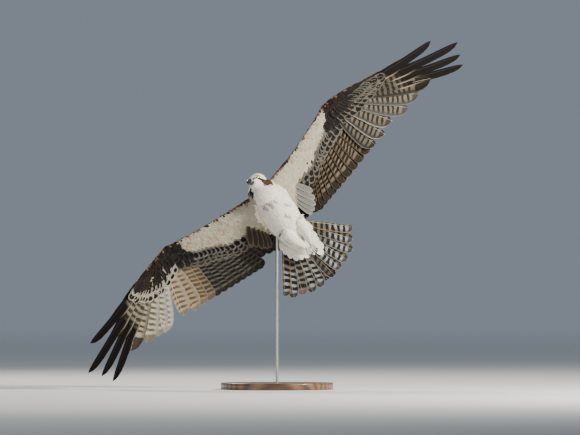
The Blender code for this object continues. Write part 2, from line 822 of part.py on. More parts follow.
def lid(centre, axis):
    """Rim of skin round one eye."""
    side = axis.cross(UP).normalized()
    rise = side.cross(axis)
    middle = centre + axis * math.sqrt(EYE_RADIUS**2 - LID_OPENING**2)
    rings = []
    for step in range(LID_STEPS):
        angle = 2 * math.pi * step / LID_STEPS
        out = side * math.cos(angle) + rise * math.sin(angle)
        place = middle + out * (LID_OPENING + LID_RADIUS * 0.6) + axis * LID_RADIUS
        rings.append(oval(place, out, axis, LID_RADIUS, LID_RADIUS, LID_RADIUS * 2, 6))
    points = [p for ring in rings for p in ring]
    faces = []
    for r in range(LID_STEPS):
        for k in range(6):
            a, b = r * 6, (r + 1) % LID_STEPS * 6
            faces.append((a + k, a + (k + 1) % 6, b + (k + 1) % 6, b + k))
    return solid("lid", points, faces)


def gape(side):
    """Cutter for the line of the mouth, along one side of the face."""
    path = []
    for x in GAPE_STATIONS:
        half_width, top, bottom = between(HEAD, x)
        y = half_width * math.sqrt(1 - (GAPE_HEIGHT / bottom) ** 2)
        path.append(Vector((x, side * y, -GAPE_HEIGHT)))
    return tube("gape", path, [GAPE_RADIUS] * len(path), 6)


def head_nodes():
    head = skull("head")
    line = EYE_LINE.normalized()
    nodes = []
    cutters = []
    lids = []
    for label, side in (("left", 1), ("right", -1)):
        centre = Vector((EYE_CENTRE.x, side * EYE_CENTRE.y, EYE_CENTRE.z))
        axis = Vector((line.x, side * line.y, line.z))
        nodes.append(ball("eye_" + label, centre, EYE_RADIUS))
        cutters.append(ball("socket", centre, EYE_RADIUS + 2 * GAP))
        outside = centre + axis * (2.5 * EYE_RADIUS)
        cutters.append(tube("opening", [centre, outside], [LID_OPENING] * 2, 14))
        cutters.append(gape(side))
        lids.append(lid(centre, axis))
    fuse(head, lids)
    carve(head, cutters)
    upper = beak("beak_upper", BEAK_UPPER, BEAK_FLATNESS)
    trim(head, Vector((BEAK_UPPER[0][0], 0, 0)), -FORWARD)
    cere = beak("cere", BEAK_UPPER, BEAK_FLATNESS)
    trim(cere, Vector((CERE_STATION, 0, 0)), -FORWARD)
    trim(cere, Vector((BEAK_UPPER[0][0] + GAP, 0, 0)), FORWARD)
    nostrils = []
    for side in (1, -1):
        place = Vector((NOSTRIL.x, side * NOSTRIL.y, NOSTRIL.z))
        nostrils.append(ball("nostril", place, NOSTRIL_RADIUS, 5, 8))
    carve(cere, nostrils)
    trim(upper, Vector((CERE_STATION + GAP, 0, 0)), FORWARD)
    lower = beak("beak_lower", BEAK_LOWER, 1.0)
    trim(lower, Vector((BEAK_LOWER[0][0] + GAP, 0, 0)), FORWARD)
    carve(lower, [beak("beak_cut", BEAK_UPPER, BEAK_FLATNESS, grow=GAP)])
    nodes += [head, upper, cere, lower]
    for node in nodes:
        node.data.transform(head_frame())
    return nodes


def stand_nodes(pose):
    mesh = bpy.data.meshes.new("stand_base")
    form = bmesh.new()
    bmesh.ops.create_cone(
        form, cap_ends=True, segments=40, radius1=BASE_RADIUS, radius2=BASE_RADIUS, depth=BASE_HEIGHT
    )
    bmesh.ops.translate(form, verts=form.verts, vec=Vector((0, 0, BASE_HEIGHT / 2)))
    top = [e for e in form.edges if all(v.co.z > BASE_HEIGHT * 0.9 for v in e.verts)]
    bmesh.ops.bevel(form, geom=top, offset=BASE_BEVEL, segments=2, affect="EDGES")
    form.to_mesh(mesh)
    form.free()
    base = bpy.data.objects.new("stand_base", mesh)
    bpy.context.scene.collection.objects.link(base)
    foot = Vector((0, 0, BASE_HEIGHT + GAP))
    rod = tube("stand_rod", [foot, Vector((0, 0, TORSO_PLACE.z))], [ROD_RADIUS, ROD_RADIUS], 16)
    cutter = trunk("rod_cut", TAIL_END, NECK_STATION, grow=GAP)
    cutter.data.transform(pose)
    carve(rod, [cutter])
    return [base, rod]


def dress(nodes, material):
    for node in nodes:
        node.data.materials.clear()
        node.data.materials.append(material)
        node.data.shade_smooth()
        node.data.set_sharp_from_angle(angle=math.radians(35))


def main():
    clear_scene()
    white = finish("white feathers", (0.80, 0.77, 0.70), 0.85)
    brown = finish("wing feathers", (0.22, 0.17, 0.12), 0.80)
    horn = finish("black horn", (0.02, 0.02, 0.022), 0.30)
    skin = finish("pale scaly skin", (0.55, 0.57, 0.55), 0.60)
    iris = finish("yellow eye", (0.85, 0.62, 0.05), 0.12)
    timber = finish("dark timber", (0.16, 0.09, 0.05), 0.45)
    steel = finish("brushed steel", (0.55, 0.55, 0.55), 0.35, 1.0)

    pose_values = pose_matrix()
    pose = bpy.data.objects.new("osprey_pose", None)
    bpy.context.scene.collection.objects.link(pose)
    pose.matrix_world = pose_values

    torso = trunk("torso", TAIL_STATION, NECK_STATION)
    flesh = [torso, neck()]
    heads = head_nodes()
    wings = wing_nodes("left") + wing_nodes("right")
    tail = tail_node()
    legs = []
    feet = []
    claws = []
    for label, side in (("left", 1), ("right", -1)):
        leg, foot, *nails = leg_nodes(label, side)
        legs.append(leg)
        feet.append(foot)
        claws += nails
    base, rod = stand_nodes(pose_values)

    dress(flesh + legs + [n for n in heads if n.name == "head"], white)
    dress([n for n in heads if n.name.startswith("eye")], iris)
    dress([n for n in heads if n.name.startswith("beak")] + claws, horn)
    dress([n for n in heads if n.name == "cere"] + feet, skin)
    dress(wings + [tail], brown)
    dress([base], timber)
    dress([rod], steel)

    for node in flesh + heads + wings + [tail] + legs + feet + claws:
        node.parent = pose
    bpy.context.view_layer.update()


main()
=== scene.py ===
import math

import bmesh
import bpy
import numpy as np
from mathutils import Matrix, Vector
from mathutils.bvhtree import BVHTree


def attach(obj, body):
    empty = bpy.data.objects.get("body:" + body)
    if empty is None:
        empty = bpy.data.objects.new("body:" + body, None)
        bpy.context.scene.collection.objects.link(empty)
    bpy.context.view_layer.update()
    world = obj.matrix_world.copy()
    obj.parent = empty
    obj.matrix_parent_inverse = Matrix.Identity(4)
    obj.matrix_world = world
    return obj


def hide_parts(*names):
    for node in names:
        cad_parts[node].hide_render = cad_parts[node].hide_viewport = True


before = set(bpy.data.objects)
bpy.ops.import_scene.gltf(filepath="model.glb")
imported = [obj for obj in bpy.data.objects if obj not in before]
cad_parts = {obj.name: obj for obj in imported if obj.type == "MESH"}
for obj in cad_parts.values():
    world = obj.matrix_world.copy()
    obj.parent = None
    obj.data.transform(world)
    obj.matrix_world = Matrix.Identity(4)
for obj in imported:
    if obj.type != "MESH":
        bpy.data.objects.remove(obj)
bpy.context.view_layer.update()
dice = np.random.default_rng(41)

# The bird is built in its own frame, +X to the beak, +Y to its left, +Z out of its back, and then
# moved into this pose: heading and wing line are angles in the picture, in degrees.
pose = {"place": (0.017, 0.0, 0.549), "heading": 125, "noseToViewer": 33, "wingLine": 41}

torso = {
    # station, half width, top, bottom
    "rows": (
        (-0.172, 0.014, 0.008, 0.009), (-0.150, 0.023, 0.016, 0.016), (-0.120, 0.034, 0.024, 0.027),
        (-0.080, 0.046, 0.036, 0.042), (-0.030, 0.055, 0.045, 0.056), (0.020, 0.060, 0.048, 0.062),
        (0.060, 0.057, 0.046, 0.060), (0.085, 0.050, 0.043, 0.051), (0.105, 0.041, 0.040, 0.040),
    ),
    "neckEnd": (0.0265, 0.0250, 0.0250),
    "neckSway": (0.003, -0.006, -0.003),
    "neckSwell": 0.012,
    "coatDepth": 0.0024,
}

head = {
    "centre": (0.1592, 0.0006, 0.0115),
    "turns": (-27, 26, -35),  # roll, pitch, yaw
    "rows": (
        (-0.0330, 0.0080, 0.0080, 0.0080), (-0.0290, 0.0165, 0.0160, 0.0165),
        (-0.0190, 0.0260, 0.0250, 0.0250), (-0.0050, 0.0300, 0.0285, 0.0280),
        (0.0080, 0.0280, 0.0268, 0.0258), (0.0190, 0.0222, 0.0205, 0.0205),
        (0.0270, 0.0160, 0.0150, 0.0160), (0.0320, 0.0112, 0.0105, 0.0115),
    ),
    "coatDepth": 0.0009,
}

leg = {
    # x, y off the mid line, z, radius
    "rows": (
        (-0.012, 0.026, -0.036, 0.022), (-0.040, 0.025, -0.045, 0.022), (-0.068, 0.021, -0.050, 0.017),
        (-0.092, 0.014, -0.053, 0.011), (-0.108, 0.0095, -0.053, 0.0065),
    ),
    "shift": 0.0086,  # both feet lie this far to the left of the mid line
    "coatDepth": 0.0012,
}

wing = {
    "shoulder": (0.065, 0.045, 0.025), "humerus": 0.155, "ulna": 0.190,
    "armRaise": 12, "handRaise": -5,
    # share of the arm, thickness, reach behind the bones
    "armRows": (
        (-0.02, 0.034, 0.090), (0.10, 0.032, 0.078), (0.25, 0.026, 0.058), (0.40, 0.021, 0.042),
        (0.55, 0.018, 0.034), (0.70, 0.016, 0.032), (0.85, 0.015, 0.028), (1.0, 0.014, 0.026),
    ),
    # distance out from the wrist, thickness, reach behind the bones
    "handRows": (
        (0.030, 0.013, 0.024), (0.065, 0.012, 0.022), (0.100, 0.011, 0.020), (0.135, 0.009, 0.018),
        (0.165, 0.006, 0.014), (0.185, 0.004, 0.008),
    ),
    "leadingMargin": 0.009,
    "coatDepth": 0.0008,
    "secondaryCount": 10, "secondaryStart": 0.65, "armSetback": 0.011, "handSetback": 0.004,
    "primaryStart": 0.023, "primaryStep": 0.0117, "tertialStart": 0.10, "tertialStep": 0.17,
    "primaryRise": (-0.09, -0.07, -0.03, 0.04, 0.10, 0.155, 0.20, 0.235, 0.27, 0.40),
    "armRise": -0.10,
    "webSlope": 6.5,
    "fingersFrom": 6,
}

wings = {
    "left": {
        "side": 1, "reach": 0.311, "sweep": 17.5, "handSweep": 6.8,
        "leadingRoot": 0.127, "handMargin": 0.016,
        "primaries": (0.231, 0.228, 0.221, 0.255, 0.274, 0.306, 0.418, 0.401, 0.388, 0.288),
        "primarySweep": (79, 70, 60, 49, 40, 32, 30, 25.5, 19.5, 11),
        "secondaries": (0.232, 0.150), "secondaryBow": 0.007, "secondarySweep": (77, 120),
        "tertials": (0.141, 0.135, 0.133, 0.100), "tertialSweep": (120, 119, 117, 115),
    },
    "right": {
        "side": -1, "reach": 0.321, "sweep": 14.1, "handSweep": 7.5,
        "leadingRoot": 0.125, "handMargin": 0.009,
        "primaries": (0.242, 0.227, 0.250, 0.250, 0.259, 0.278, 0.378, 0.359, 0.354, 0.258),
        "primarySweep": (86, 78, 61.5, 58, 51, 41, 37.5, 31, 23.5, 13),
        "secondaries": (0.235, 0.168), "secondaryBow": 0.002, "secondarySweep": (86.5, 113),
        "tertials": (0.132, 0.132, 0.142, 0.156), "tertialSweep": (112, 110, 109, 107),
    },
}

# Outlines of vanes: share of the length, outer web and inner web as shares of the width
webs = {
    "secondary": ((0, 0.15, 0.15), (0.2, 0.32, 0.5), (0.86, 0.36, 0.62), (0.955, 0.27, 0.45), (1, 0.1, 0.16)),
    "primary": (
        (0, 0.1, 0.13), (0.18, 0.22, 0.44), (0.5, 0.28, 0.66), (0.82, 0.28, 0.71),
        (0.94, 0.19, 0.49), (1, 0.06, 0.1),
    ),
    "finger": (
        (0, 0.12, 0.15), (0.15, 0.22, 0.45), (0.46, 0.25, 0.62), (0.6, 0.18, 0.49),
        (0.85, 0.16, 0.43), (0.95, 0.11, 0.28), (1, 0.03, 0.04),
    ),
    "covert": ((0, 0.25, 0.25), (0.35, 0.46, 0.48), (0.8, 0.46, 0.48), (0.95, 0.30, 0.31), (1, 0.12, 0.12)),
    "tail": ((0, 0.16, 0.2), (0.3, 0.37, 0.47), (0.88, 0.41, 0.52), (0.965, 0.27, 0.34), (1, 0.09, 0.1)),
    "tailEdge": ((0, 0.08, 0.2), (0.3, 0.11, 0.48), (0.88, 0.13, 0.56), (0.965, 0.1, 0.38), (1, 0.04, 0.12)),
}

# Feather colours, linear
tint = {
    # lining is grey-cream: painted shade on the white underwing feathers
    "white": (0.82, 0.79, 0.71), "cream": (0.60, 0.53, 0.40), "lining": (0.33, 0.305, 0.245),
    "rust": (0.34, 0.15, 0.05), "brown": (0.075, 0.047, 0.029), "dark": (0.024, 0.016, 0.012),
    "black": (0.006, 0.005, 0.005), "grey": (0.15, 0.14, 0.125),
    # sky is painted light: the cool light that shows through the thin webs of the tail feathers
    "backBrown": (0.050, 0.032, 0.021), "paleEdge": (0.28, 0.21, 0.14), "sky": (0.27, 0.31, 0.34),
}


# Vectors

def unit(v):
    v = np.asarray(v, float)
    return v / np.linalg.norm(v, axis=-1, keepdims=True)


def mix(a, b, t):
    a, b, t = np.asarray(a, float), np.asarray(b, float), np.asarray(t, float)
    return a + (b - a) * t


def ramp(x, low, high):
    t = np.clip((np.asarray(x, float) - low) / (high - low), 0, 1)
    return t * t * (3 - 2 * t)


def curveThrough(rows, x):
    # the values of each row at x, on a smooth curve through the rows
    table = np.asarray(rows, float)
    keys, values = table[:, 0], table[:, 1:]
    x = np.asarray(x, float)
    i = np.clip(np.searchsorted(keys, x, side="right") - 1, 0, len(keys) - 2)
    before, after = np.maximum(i - 1, 0), np.minimum(i + 2, len(keys) - 1)
    width = (keys[i + 1] - keys[i])[..., None]
    t = ((x - keys[i])[..., None]) / width
    m1 = (values[i + 1] - values[before]) / (keys[i + 1] - keys[before])[..., None] * width
    m2 = (values[after] - values[i]) / (keys[after] - keys[i])[..., None] * width
    a, b = values[i], values[i + 1]
    return (
        (2 * t**3 - 3 * t**2 + 1) * a + (t**3 - 2 * t**2 + t) * m1
        + (3 * t**2 - 2 * t**3) * b + (t**3 - t**2) * m2
    )


def birdMatrix():
    heading, pitch, line = (math.radians(pose[k]) for k in ("heading", "noseToViewer", "wingLine"))
    roll = math.atan(math.cos(pitch) * math.cos(heading - line) / math.sin(pitch))
    level = math.cos(pitch)
    forward = Vector((level * math.cos(heading), -math.sin(pitch), level * math.sin(heading)))
    left = Vector((math.cos(roll) * math.cos(line), math.sin(roll), math.cos(roll) * math.sin(line)))
    turn = Matrix((forward, left, forward.cross(left))).transposed()
    return Matrix.Translation(pose["place"]) @ turn.to_4x4()


birdPose = birdMatrix()
rollTurn, pitchTurn, yawTurn = (math.radians(v) for v in head["turns"])
headPlace = (
    Matrix.Translation(head["centre"]) @ Matrix.Rotation(yawTurn, 4, "Z")
    @ Matrix.Rotation(pitchTurn, 4, "Y") @ Matrix.Rotation(rollTurn, 4, "X")
)
headTurn = np.array(headPlace)[:3, :3]
headCentre = np.array(head["centre"])
forwardWay, leftWay, upWay = np.eye(3)


# Shader maths

class Sock:
    # a socket that adds maths nodes when it is calculated with
    def __init__(self, finish, socket):
        self.finish, self.socket = finish, socket

    def maths(self, operation, *others):
        values = [self] + list(others)
        return self.finish.node("Math", {"operation": operation}, dict(enumerate(values)))

    def __add__(self, other):
        return self.maths("ADD", other)

    __radd__ = __add__

    def __mul__(self, other):
        return self.maths("MULTIPLY", other)

    __rmul__ = __mul__

    def __sub__(self, other):
        return self.maths("SUBTRACT", other)

    def __rsub__(self, other):
        return self.finish.node("Math", {"operation": "SUBTRACT"}, {0: other, 1: self})

    def __truediv__(self, other):
        return self.maths("DIVIDE", other)

    def __pow__(self, other):
        return self.maths("POWER", other)

    def __abs__(self):
        return self.maths("ABSOLUTE")

    def cosine(self):
        return self.maths("COSINE")

    def larger(self, other):
        return self.maths("MAXIMUM", other)

    def between(self, low, high):
        # 0 below low, 1 above high, smooth between
        return self.finish.node(
            "MapRange", {"interpolation_type": "SMOOTHSTEP"},
            {"Value": self, "From Min": low, "From Max": high},
        )


class Finish:
    # one material, with short ways to add and link nodes
    def __init__(self, name, **constants):
        self.material = bpy.data.materials.new(name)
        self.material.use_nodes = True
        self.tree = self.material.node_tree
        self.shader = self.tree.nodes["Principled BSDF"]
        for key, value in constants.items():
            self.shader.inputs[key.replace("_", " ")].default_value = value

    def node(self, kind, settings=None, inputs=None, out=0):
        made = self.tree.nodes.new("ShaderNode" + kind)
        for key, value in (settings or {}).items():
            if key == "stops":
                for k, (place, colour) in enumerate(value):
                    stops = made.color_ramp.elements
                    stop = stops[k] if k < 2 else stops.new(place)
                    stop.position, stop.color = place, (*colour, 1)
            else:
                setattr(made, key, value)
        for key, value in (inputs or {}).items():
            self.feed(made.inputs[key], value)
        return Sock(self, made.outputs[out])

    def feed(self, target, value):
        if isinstance(value, Sock):
            self.tree.links.new(value.socket, target)
        elif isinstance(value, tuple) and target.type == "RGBA":
            target.default_value = (*value, 1)
        else:
            target.default_value = value

    def attribute(self, name, out="Vector"):
        return self.node("Attribute", {"attribute_name": name}, out=out)

    def parts(self, vector):
        made = self.node("SeparateXYZ", {}, {0: vector}).socket.node
        return [Sock(self, socket) for socket in made.outputs]

    def coords(self):
        return self.node("TexCoord", out="Object")

    def stretched(self, scale):
        return self.node("Mapping", {}, {"Vector": self.coords(), "Scale": scale})

    def noise(self, scale, detail=3, vector=None):
        inputs = {"Vector": vector or self.coords(), "Scale": scale, "Detail": detail, "Roughness": 0.5}
        return self.node("TexNoise", {}, inputs)

    def blend(self, a, b, factor, way="MIX"):
        made = self.tree.nodes.new("ShaderNodeMix")
        made.data_type, made.blend_type = "RGBA", way
        for index, value in ((0, factor), (6, a), (7, b)):
            self.feed(made.inputs[index], value)
        return Sock(self, made.outputs[2])

    def bump(self, height, strength, distance):
        return self.node("Bump", {}, {"Height": height, "Strength": strength, "Distance": distance})

    def use(self, **links):
        for key, value in links.items():
            self.feed(self.shader.inputs[key.replace("_", " ")], value)
        return self.material


barb = {"slant": 1.1, "period": 0.0011, "depth": 0.0006}


def barbBump(finish, along, across, strength):
    # fine ridges that leave the shaft at a slant
    lines = ((along - abs(across) * barb["slant"]) * (2 * math.pi / barb["period"])).cosine()
    fluff = finish.noise(260, 2)
    return finish.bump(lines * 0.25 + fluff * 0.9, strength, barb["depth"])


def flightFinish():
    # bars, a tip band, a rim and the shaft, all from what each vane carries
    finish = Finish("flight_vanes", Roughness=0.62, Specular_IOR_Level=0.06)
    place, share = finish.attribute("place"), finish.attribute("share")
    along, across, fromTip = finish.parts(place)
    _, web, shaft = finish.parts(share)
    spacing, tipBand, strength = finish.parts(finish.attribute("rhythm"))
    ground, bar = finish.attribute("ground", "Color"), finish.attribute("barTint", "Color")
    tip, rim = finish.attribute("tipTint", "Color"), finish.attribute("rimTint", "Color")
    narrow = finish.parts(finish.attribute("habit"))[0]  # above 0 the bars are narrower than the gaps
    wobble = finish.noise(30, 2)
    grain = finish.noise(150, 4)
    phase = (fromTip - tipBand + abs(across) * 0.25) / spacing + wobble * 0.8
    wave = (phase * (2 * math.pi)).cosine() - narrow
    bars = (wave + (grain - 0.5) * 0.9).between(-0.30, 0.30)
    onOuter = 1 - (web * -1).between(0.15, 0.95) * 0.6
    clear = (fromTip - tipBand + (grain - 0.5) * 0.006).between(-0.003, 0.006)
    colour = finish.blend(ground, bar, bars * onOuter * strength * clear)
    tipMask = (tipBand * 0.8 - fromTip + (grain - 0.5) * 0.008).between(-0.003, 0.003)
    colour = finish.blend(colour, tip, tipMask * 0.9)
    edge = abs(web).between(0.86, 0.99).larger(1 - fromTip.between(0.0012, 0.0035))
    colour = finish.blend(colour, rim, edge * 0.8)
    strands = {0: (along - abs(across) * barb["slant"]) * 420, 1: across * 40, 2: along * 6}
    streaks = finish.noise(1.0, 3, finish.node("CombineXYZ", {}, strands)).between(0.2, 0.75)
    colour = finish.blend(colour, (0.42, 0.41, 0.40), 0.36 - streaks * 0.36, "MULTIPLY")
    colour = finish.blend(colour, finish.attribute("shaftTint", "Color"), shaft.between(0.4, 0.6))
    return finish.use(
        Base_Color=colour, Roughness=0.66 - shaft * 0.22, Normal=barbBump(finish, along, across, 0.3),
    )


def covertFinish(name, barbs):
    # a ground colour with a blotch on it, whose edge is broken by noise
    finish = Finish(name, Roughness=0.8, Specular_IOR_Level=0.15)
    place, share = finish.attribute("place"), finish.attribute("share")
    along, across, fromTip = finish.parts(place)
    ahead, web, _ = finish.parts(share)
    centre, radius, strength = finish.parts(finish.attribute("rhythm"))
    ground, blot = finish.attribute("ground", "Color"), finish.attribute("barTint", "Color")
    grain = finish.noise(170, 3)
    run = (ahead - centre) / radius
    away = (run * run + web * web * 1.25) ** 0.5 + (grain - 0.5) * 0.6
    mask = (1 - away.between(0.72, 1.0)) * strength
    colour = finish.blend(ground, blot, mask)
    mottle = finish.noise(90, 3).between(0.3, 0.7) * 0.16 + 0.84
    colour = finish.blend(colour, (0.45, 0.40, 0.33), 1 - mottle, "MULTIPLY")
    colour = finish.blend(colour, (0.6, 0.55, 0.5), (1 - fromTip.between(0.0, 0.0016)) * 0.25, "MULTIPLY")
    return finish.use(Base_Color=colour, Normal=barbBump(finish, along, across, barbs))


def skinFinish():
    finish = Finish("down_skin", Roughness=0.9, Specular_IOR_Level=0.2)
    ground = finish.attribute("ground", "Color")
    cloud = finish.noise(120, 4).between(0.35, 0.7)
    colour = finish.blend(ground, (0.6, 0.56, 0.5), cloud * 0.5, "MULTIPLY")
    return finish.use(Base_Color=colour, Normal=finish.bump(finish.noise(420, 3), 0.8, 0.0012))


def hornFinish(name, colour, worn):
    # dark horn with fine fibres along it, worn paler in clouds
    finish = Finish(name, Roughness=0.25, Specular_IOR_Level=0.55, Coat_Weight=0.35, Coat_Roughness=0.12)
    fibre = finish.noise(1.0, 4, finish.stretched((260, 900, 900)))
    cloud = finish.noise(130, 3)
    shade = finish.blend(colour, worn, (cloud * 0.6 + fibre * 0.5).between(0.55, 0.8) * 0.5)
    relief = finish.bump(fibre, 0.25, 0.0003)
    return finish.use(Base_Color=shade, Roughness=fibre * 0.22 + 0.16, Normal=relief)


def bareSkinFinish(name, colour, shadeTint, scale):
    # polygon scutes, darker in the creases between them as painted shade
    finish = Finish(name, Roughness=0.5, Specular_IOR_Level=0.45)
    cells = finish.node(
        "TexVoronoi", {"feature": "DISTANCE_TO_EDGE"},
        {"Vector": finish.coords(), "Scale": scale, "Randomness": 0.8},
    )
    crease = cells.between(0.02, 0.16)
    tone = finish.blend(shadeTint, colour, crease * (finish.noise(200, 3).between(0.2, 0.7) * 0.5 + 0.5))
    return finish.use(
        Base_Color=tone, Roughness=0.62 - crease * 0.2,
        Normal=finish.bump(crease + finish.noise(500, 2) * 0.3, 0.6, 0.00015),
    )


eye = {"centre": (0.0125, 0.0170, 0.0050), "line": (0.50, 0.86, 0.10), "radius": 0.0078}


def eyeFinish():
    # pupil, iris with radial threads and a dark outer ring, by the distance from the eye's axis
    finish = Finish("eye_iris", Roughness=0.08, Specular_IOR_Level=0.6, Coat_Weight=1.0, Coat_Roughness=0.02)
    x, y, z = finish.parts(finish.coords())
    out = (x * x + y * y) ** 0.5 / eye["radius"]
    turn = finish.node("Math", {"operation": "ARCTAN2"}, {0: y, 1: x})
    threads = finish.noise(1.0, 4, finish.node("CombineXYZ", {}, {0: turn * 7.0, 1: out * 5.0, 2: 0.0}))
    iris = finish.blend((0.86, 0.56, 0.03), (0.97, 0.80, 0.16), threads.between(0.35, 0.7))
    iris = finish.blend(iris, (0.45, 0.24, 0.02), out.between(0.56, 0.68) * 0.8)
    pupil, ring, rear = 1 - out.between(0.29, 0.33), out.between(0.70, 0.74), 1 - z.between(-0.0002, 0.0002)
    dark = pupil.larger(ring).larger(rear)
    return finish.use(Base_Color=finish.blend(iris, (0.004, 0.004, 0.005), dark))


def timberFinish():
    # dark walnut: warped bands of grain with small dark pores
    finish = Finish("stand_walnut", Roughness=0.4, Coat_Weight=0.4, Coat_Roughness=0.18)
    plank = finish.stretched((3.0, 26.0, 26.0))
    warp = finish.noise(1.3, 5, plank)
    rings = finish.node(
        "TexWave", {"wave_type": "BANDS", "bands_direction": "Y"},
        {"Vector": plank, "Scale": 0.55, "Distortion": 7.0, "Detail": 4.0, "Detail Scale": 0.7},
    )
    pores = finish.noise(1.0, 3, finish.stretched((60, 900, 900)))
    body = finish.node(
        "ValToRGB", {"stops": ((0.2, (0.075, 0.034, 0.017)), (0.85, (0.24, 0.125, 0.062)))},
        {"Fac": rings * 0.55 + warp * 0.45},
    )
    poreMask = pores.between(0.62, 0.72) * 0.6
    return finish.use(
        Base_Color=finish.blend(body, (0.03, 0.014, 0.008), poreMask),
        Roughness=warp * 0.15 + 0.28, Normal=finish.bump(poreMask * -1 + rings * 0.2, 0.3, 0.0004),
    )


def steelFinish():
    # brushed along the rod
    finish = Finish("stand_steel", Metallic=1.0, Roughness=0.3)
    brushed = finish.noise(1.0, 3, finish.stretched((900, 900, 25)))
    return finish.use(
        Base_Color=finish.blend((0.50, 0.50, 0.49), (0.68, 0.68, 0.67), brushed.between(0.35, 0.65)),
        Roughness=brushed * 0.25 + 0.2, Normal=finish.bump(brushed, 0.12, 0.0002),
    )


finishes = {
    "flight": flightFinish(),
    "covert": covertFinish("covert_vanes", 0.3),
    "down": covertFinish("body_vanes", 0.22),
    "skin": skinFinish(),
    "bill": hornFinish("bill_horn", (0.014, 0.014, 0.016), (0.05, 0.05, 0.055)),
    "claw": hornFinish("claw_horn", (0.010, 0.010, 0.011), (0.06, 0.055, 0.05)),
    "cere": bareSkinFinish("blue_cere", (0.30, 0.36, 0.40), (0.14, 0.17, 0.20), 900),
    "toes": bareSkinFinish("toe_scutes", (0.62, 0.64, 0.60), (0.30, 0.30, 0.27), 620),
    "lid": bareSkinFinish("lid_skin", (0.10, 0.10, 0.09), (0.03, 0.03, 0.03), 1400),
    "eye": eyeFinish(),
    "timber": timberFinish(),
    "steel": steelFinish(),
}
print("finishes made")


# Mesh helpers

def meshFrom(name, points, faces, fields=None, uv=None, sharp=60):
    # faces are an array of quads; fields and uv hold one row for each corner
    mesh = bpy.data.meshes.new(name)
    mesh.vertices.add(len(points))
    mesh.vertices.foreach_set("co", np.ascontiguousarray(points, np.float32).ravel())
    mesh.loops.add(faces.size)
    mesh.loops.foreach_set("vertex_index", faces.astype(np.int32).ravel())
    mesh.polygons.add(len(faces))
    mesh.polygons.foreach_set("loop_start", np.arange(0, faces.size, faces.shape[1], dtype=np.int32))
    mesh.update(calc_edges=True)
    for key, values in (fields or {}).items():
        kind = "FLOAT_COLOR" if key.lower().endswith(("tint", "ground")) else "FLOAT_VECTOR"
        layer = mesh.attributes.new(key, kind, "CORNER")
        if kind == "FLOAT_COLOR":
            full = np.ones((len(values), 4), np.float32)
            full[:, :3] = values
            layer.data.foreach_set("color", full.ravel())
        else:
            layer.data.foreach_set("vector", np.ascontiguousarray(values, np.float32).ravel())
    if uv is not None:
        layer = mesh.uv_layers.new(name="OFBake")
        layer.data.foreach_set("uv", np.ascontiguousarray(uv, np.float32).ravel())
    mesh.shade_smooth()
    if sharp:
        mesh.set_sharp_from_angle(angle=math.radians(sharp))
    return mesh


def birdPiece(name, mesh, finish, slot, *nodes, place=None):
    # a mesh in the bird's frame is moved into the pose; others get their place as a matrix
    if place is None:
        mesh.transform(birdPose)
    piece = bpy.data.objects.new(name, mesh)
    bpy.context.scene.collection.objects.link(piece)
    piece.matrix_world = place or Matrix.Identity(4)
    piece.data.materials.clear()
    piece.data.materials.append(finishes[finish])
    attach(piece, "root")
    if nodes:
        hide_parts(*nodes)
    return piece


def settled(piece):
    # the mesh that a piece's modifiers give; the piece itself is removed
    graph = bpy.context.evaluated_depsgraph_get()
    mesh = bpy.data.meshes.new_from_object(piece.evaluated_get(graph))
    bpy.data.objects.remove(piece, do_unlink=True)
    return mesh


def ringFaces(ringCount, pointCount):
    faces = []
    for r in range(ringCount - 1):
        for k in range(pointCount):
            a, b = r * pointCount + k, r * pointCount + (k + 1) % pointCount
            faces.append((a, b, b + pointCount, a + pointCount))
    return faces


def loft(rings):
    # closed body through rings of equal counts, with one face over each end
    count = len(rings[0])
    points = [Vector(p) for ring in rings for p in ring]
    form = bmesh.new()
    verts = [form.verts.new(p) for p in points]
    for face in ringFaces(len(rings), count):
        form.faces.new([verts[k] for k in face])
    form.faces.new(verts[:count])
    form.faces.new(verts[-count:])
    bmesh.ops.recalc_face_normals(form, faces=form.faces)
    mesh = bpy.data.meshes.new("loft")
    form.to_mesh(mesh)
    form.free()
    return mesh


def oval(centre, across, up, halfWidth, top, bottom, count=32):
    turn = np.arange(count) * 2 * math.pi / count
    height = np.sin(turn) * np.where(np.sin(turn) > 0, top, bottom)
    return np.asarray(centre) + np.outer(np.cos(turn) * halfWidth, across) + np.outer(height, up)


def tubeRings(path, radii, count=14, flat=1.0):
    path = np.asarray(path, float)
    rings = []
    for k in range(len(path)):
        run = unit(path[min(k + 1, len(path) - 1)] - path[max(k - 1, 0)])
        side = unit(np.cross(run, upWay if abs(run[2]) < 0.9 else leftWay))
        rise = np.cross(side, run)
        rings.append(oval(path[k], side, rise, radii[k], radii[k] * flat, radii[k] * flat, count))
    return rings


# Skeleton of the wings

def wingBones(label):
    w = wings[label]
    side = w["side"]
    arm, hand = math.radians(wing["armRaise"]), math.radians(wing["handRaise"])
    span = np.array((0, side * math.cos(arm), math.sin(arm)))
    handSpan = np.array((0, side * math.cos(hand), math.sin(hand)))
    x, y, z = wing["shoulder"]
    shoulder = np.array((x, side * y, z))
    reach, sweep = w["reach"], math.radians(w["sweep"])
    wrist = shoulder + (forwardWay * math.sin(sweep) + span * math.cos(sweep)) * reach
    humerus = wing["humerus"]
    fold = math.acos((humerus**2 + reach**2 - wing["ulna"]**2) / (2 * humerus * reach))
    elbow = shoulder + (forwardWay * math.sin(sweep - fold) + span * math.cos(sweep - fold)) * humerus
    back = math.radians(w["handSweep"])
    return {
        **w, "shoulder": shoulder, "elbow": elbow, "wrist": wrist, "span": span,
        "handSpan": handSpan, "up": np.array((0, -side * math.sin(arm), math.cos(arm))),
        "handUp": np.array((0, -side * math.sin(hand), math.cos(hand))),
        "bone": handSpan * math.cos(back) - forwardWay * math.sin(back),
    }


def swept(span, angle):
    angle = np.radians(angle)
    return np.multiply.outer(np.cos(angle), span) - np.multiply.outer(np.sin(angle), forwardWay)


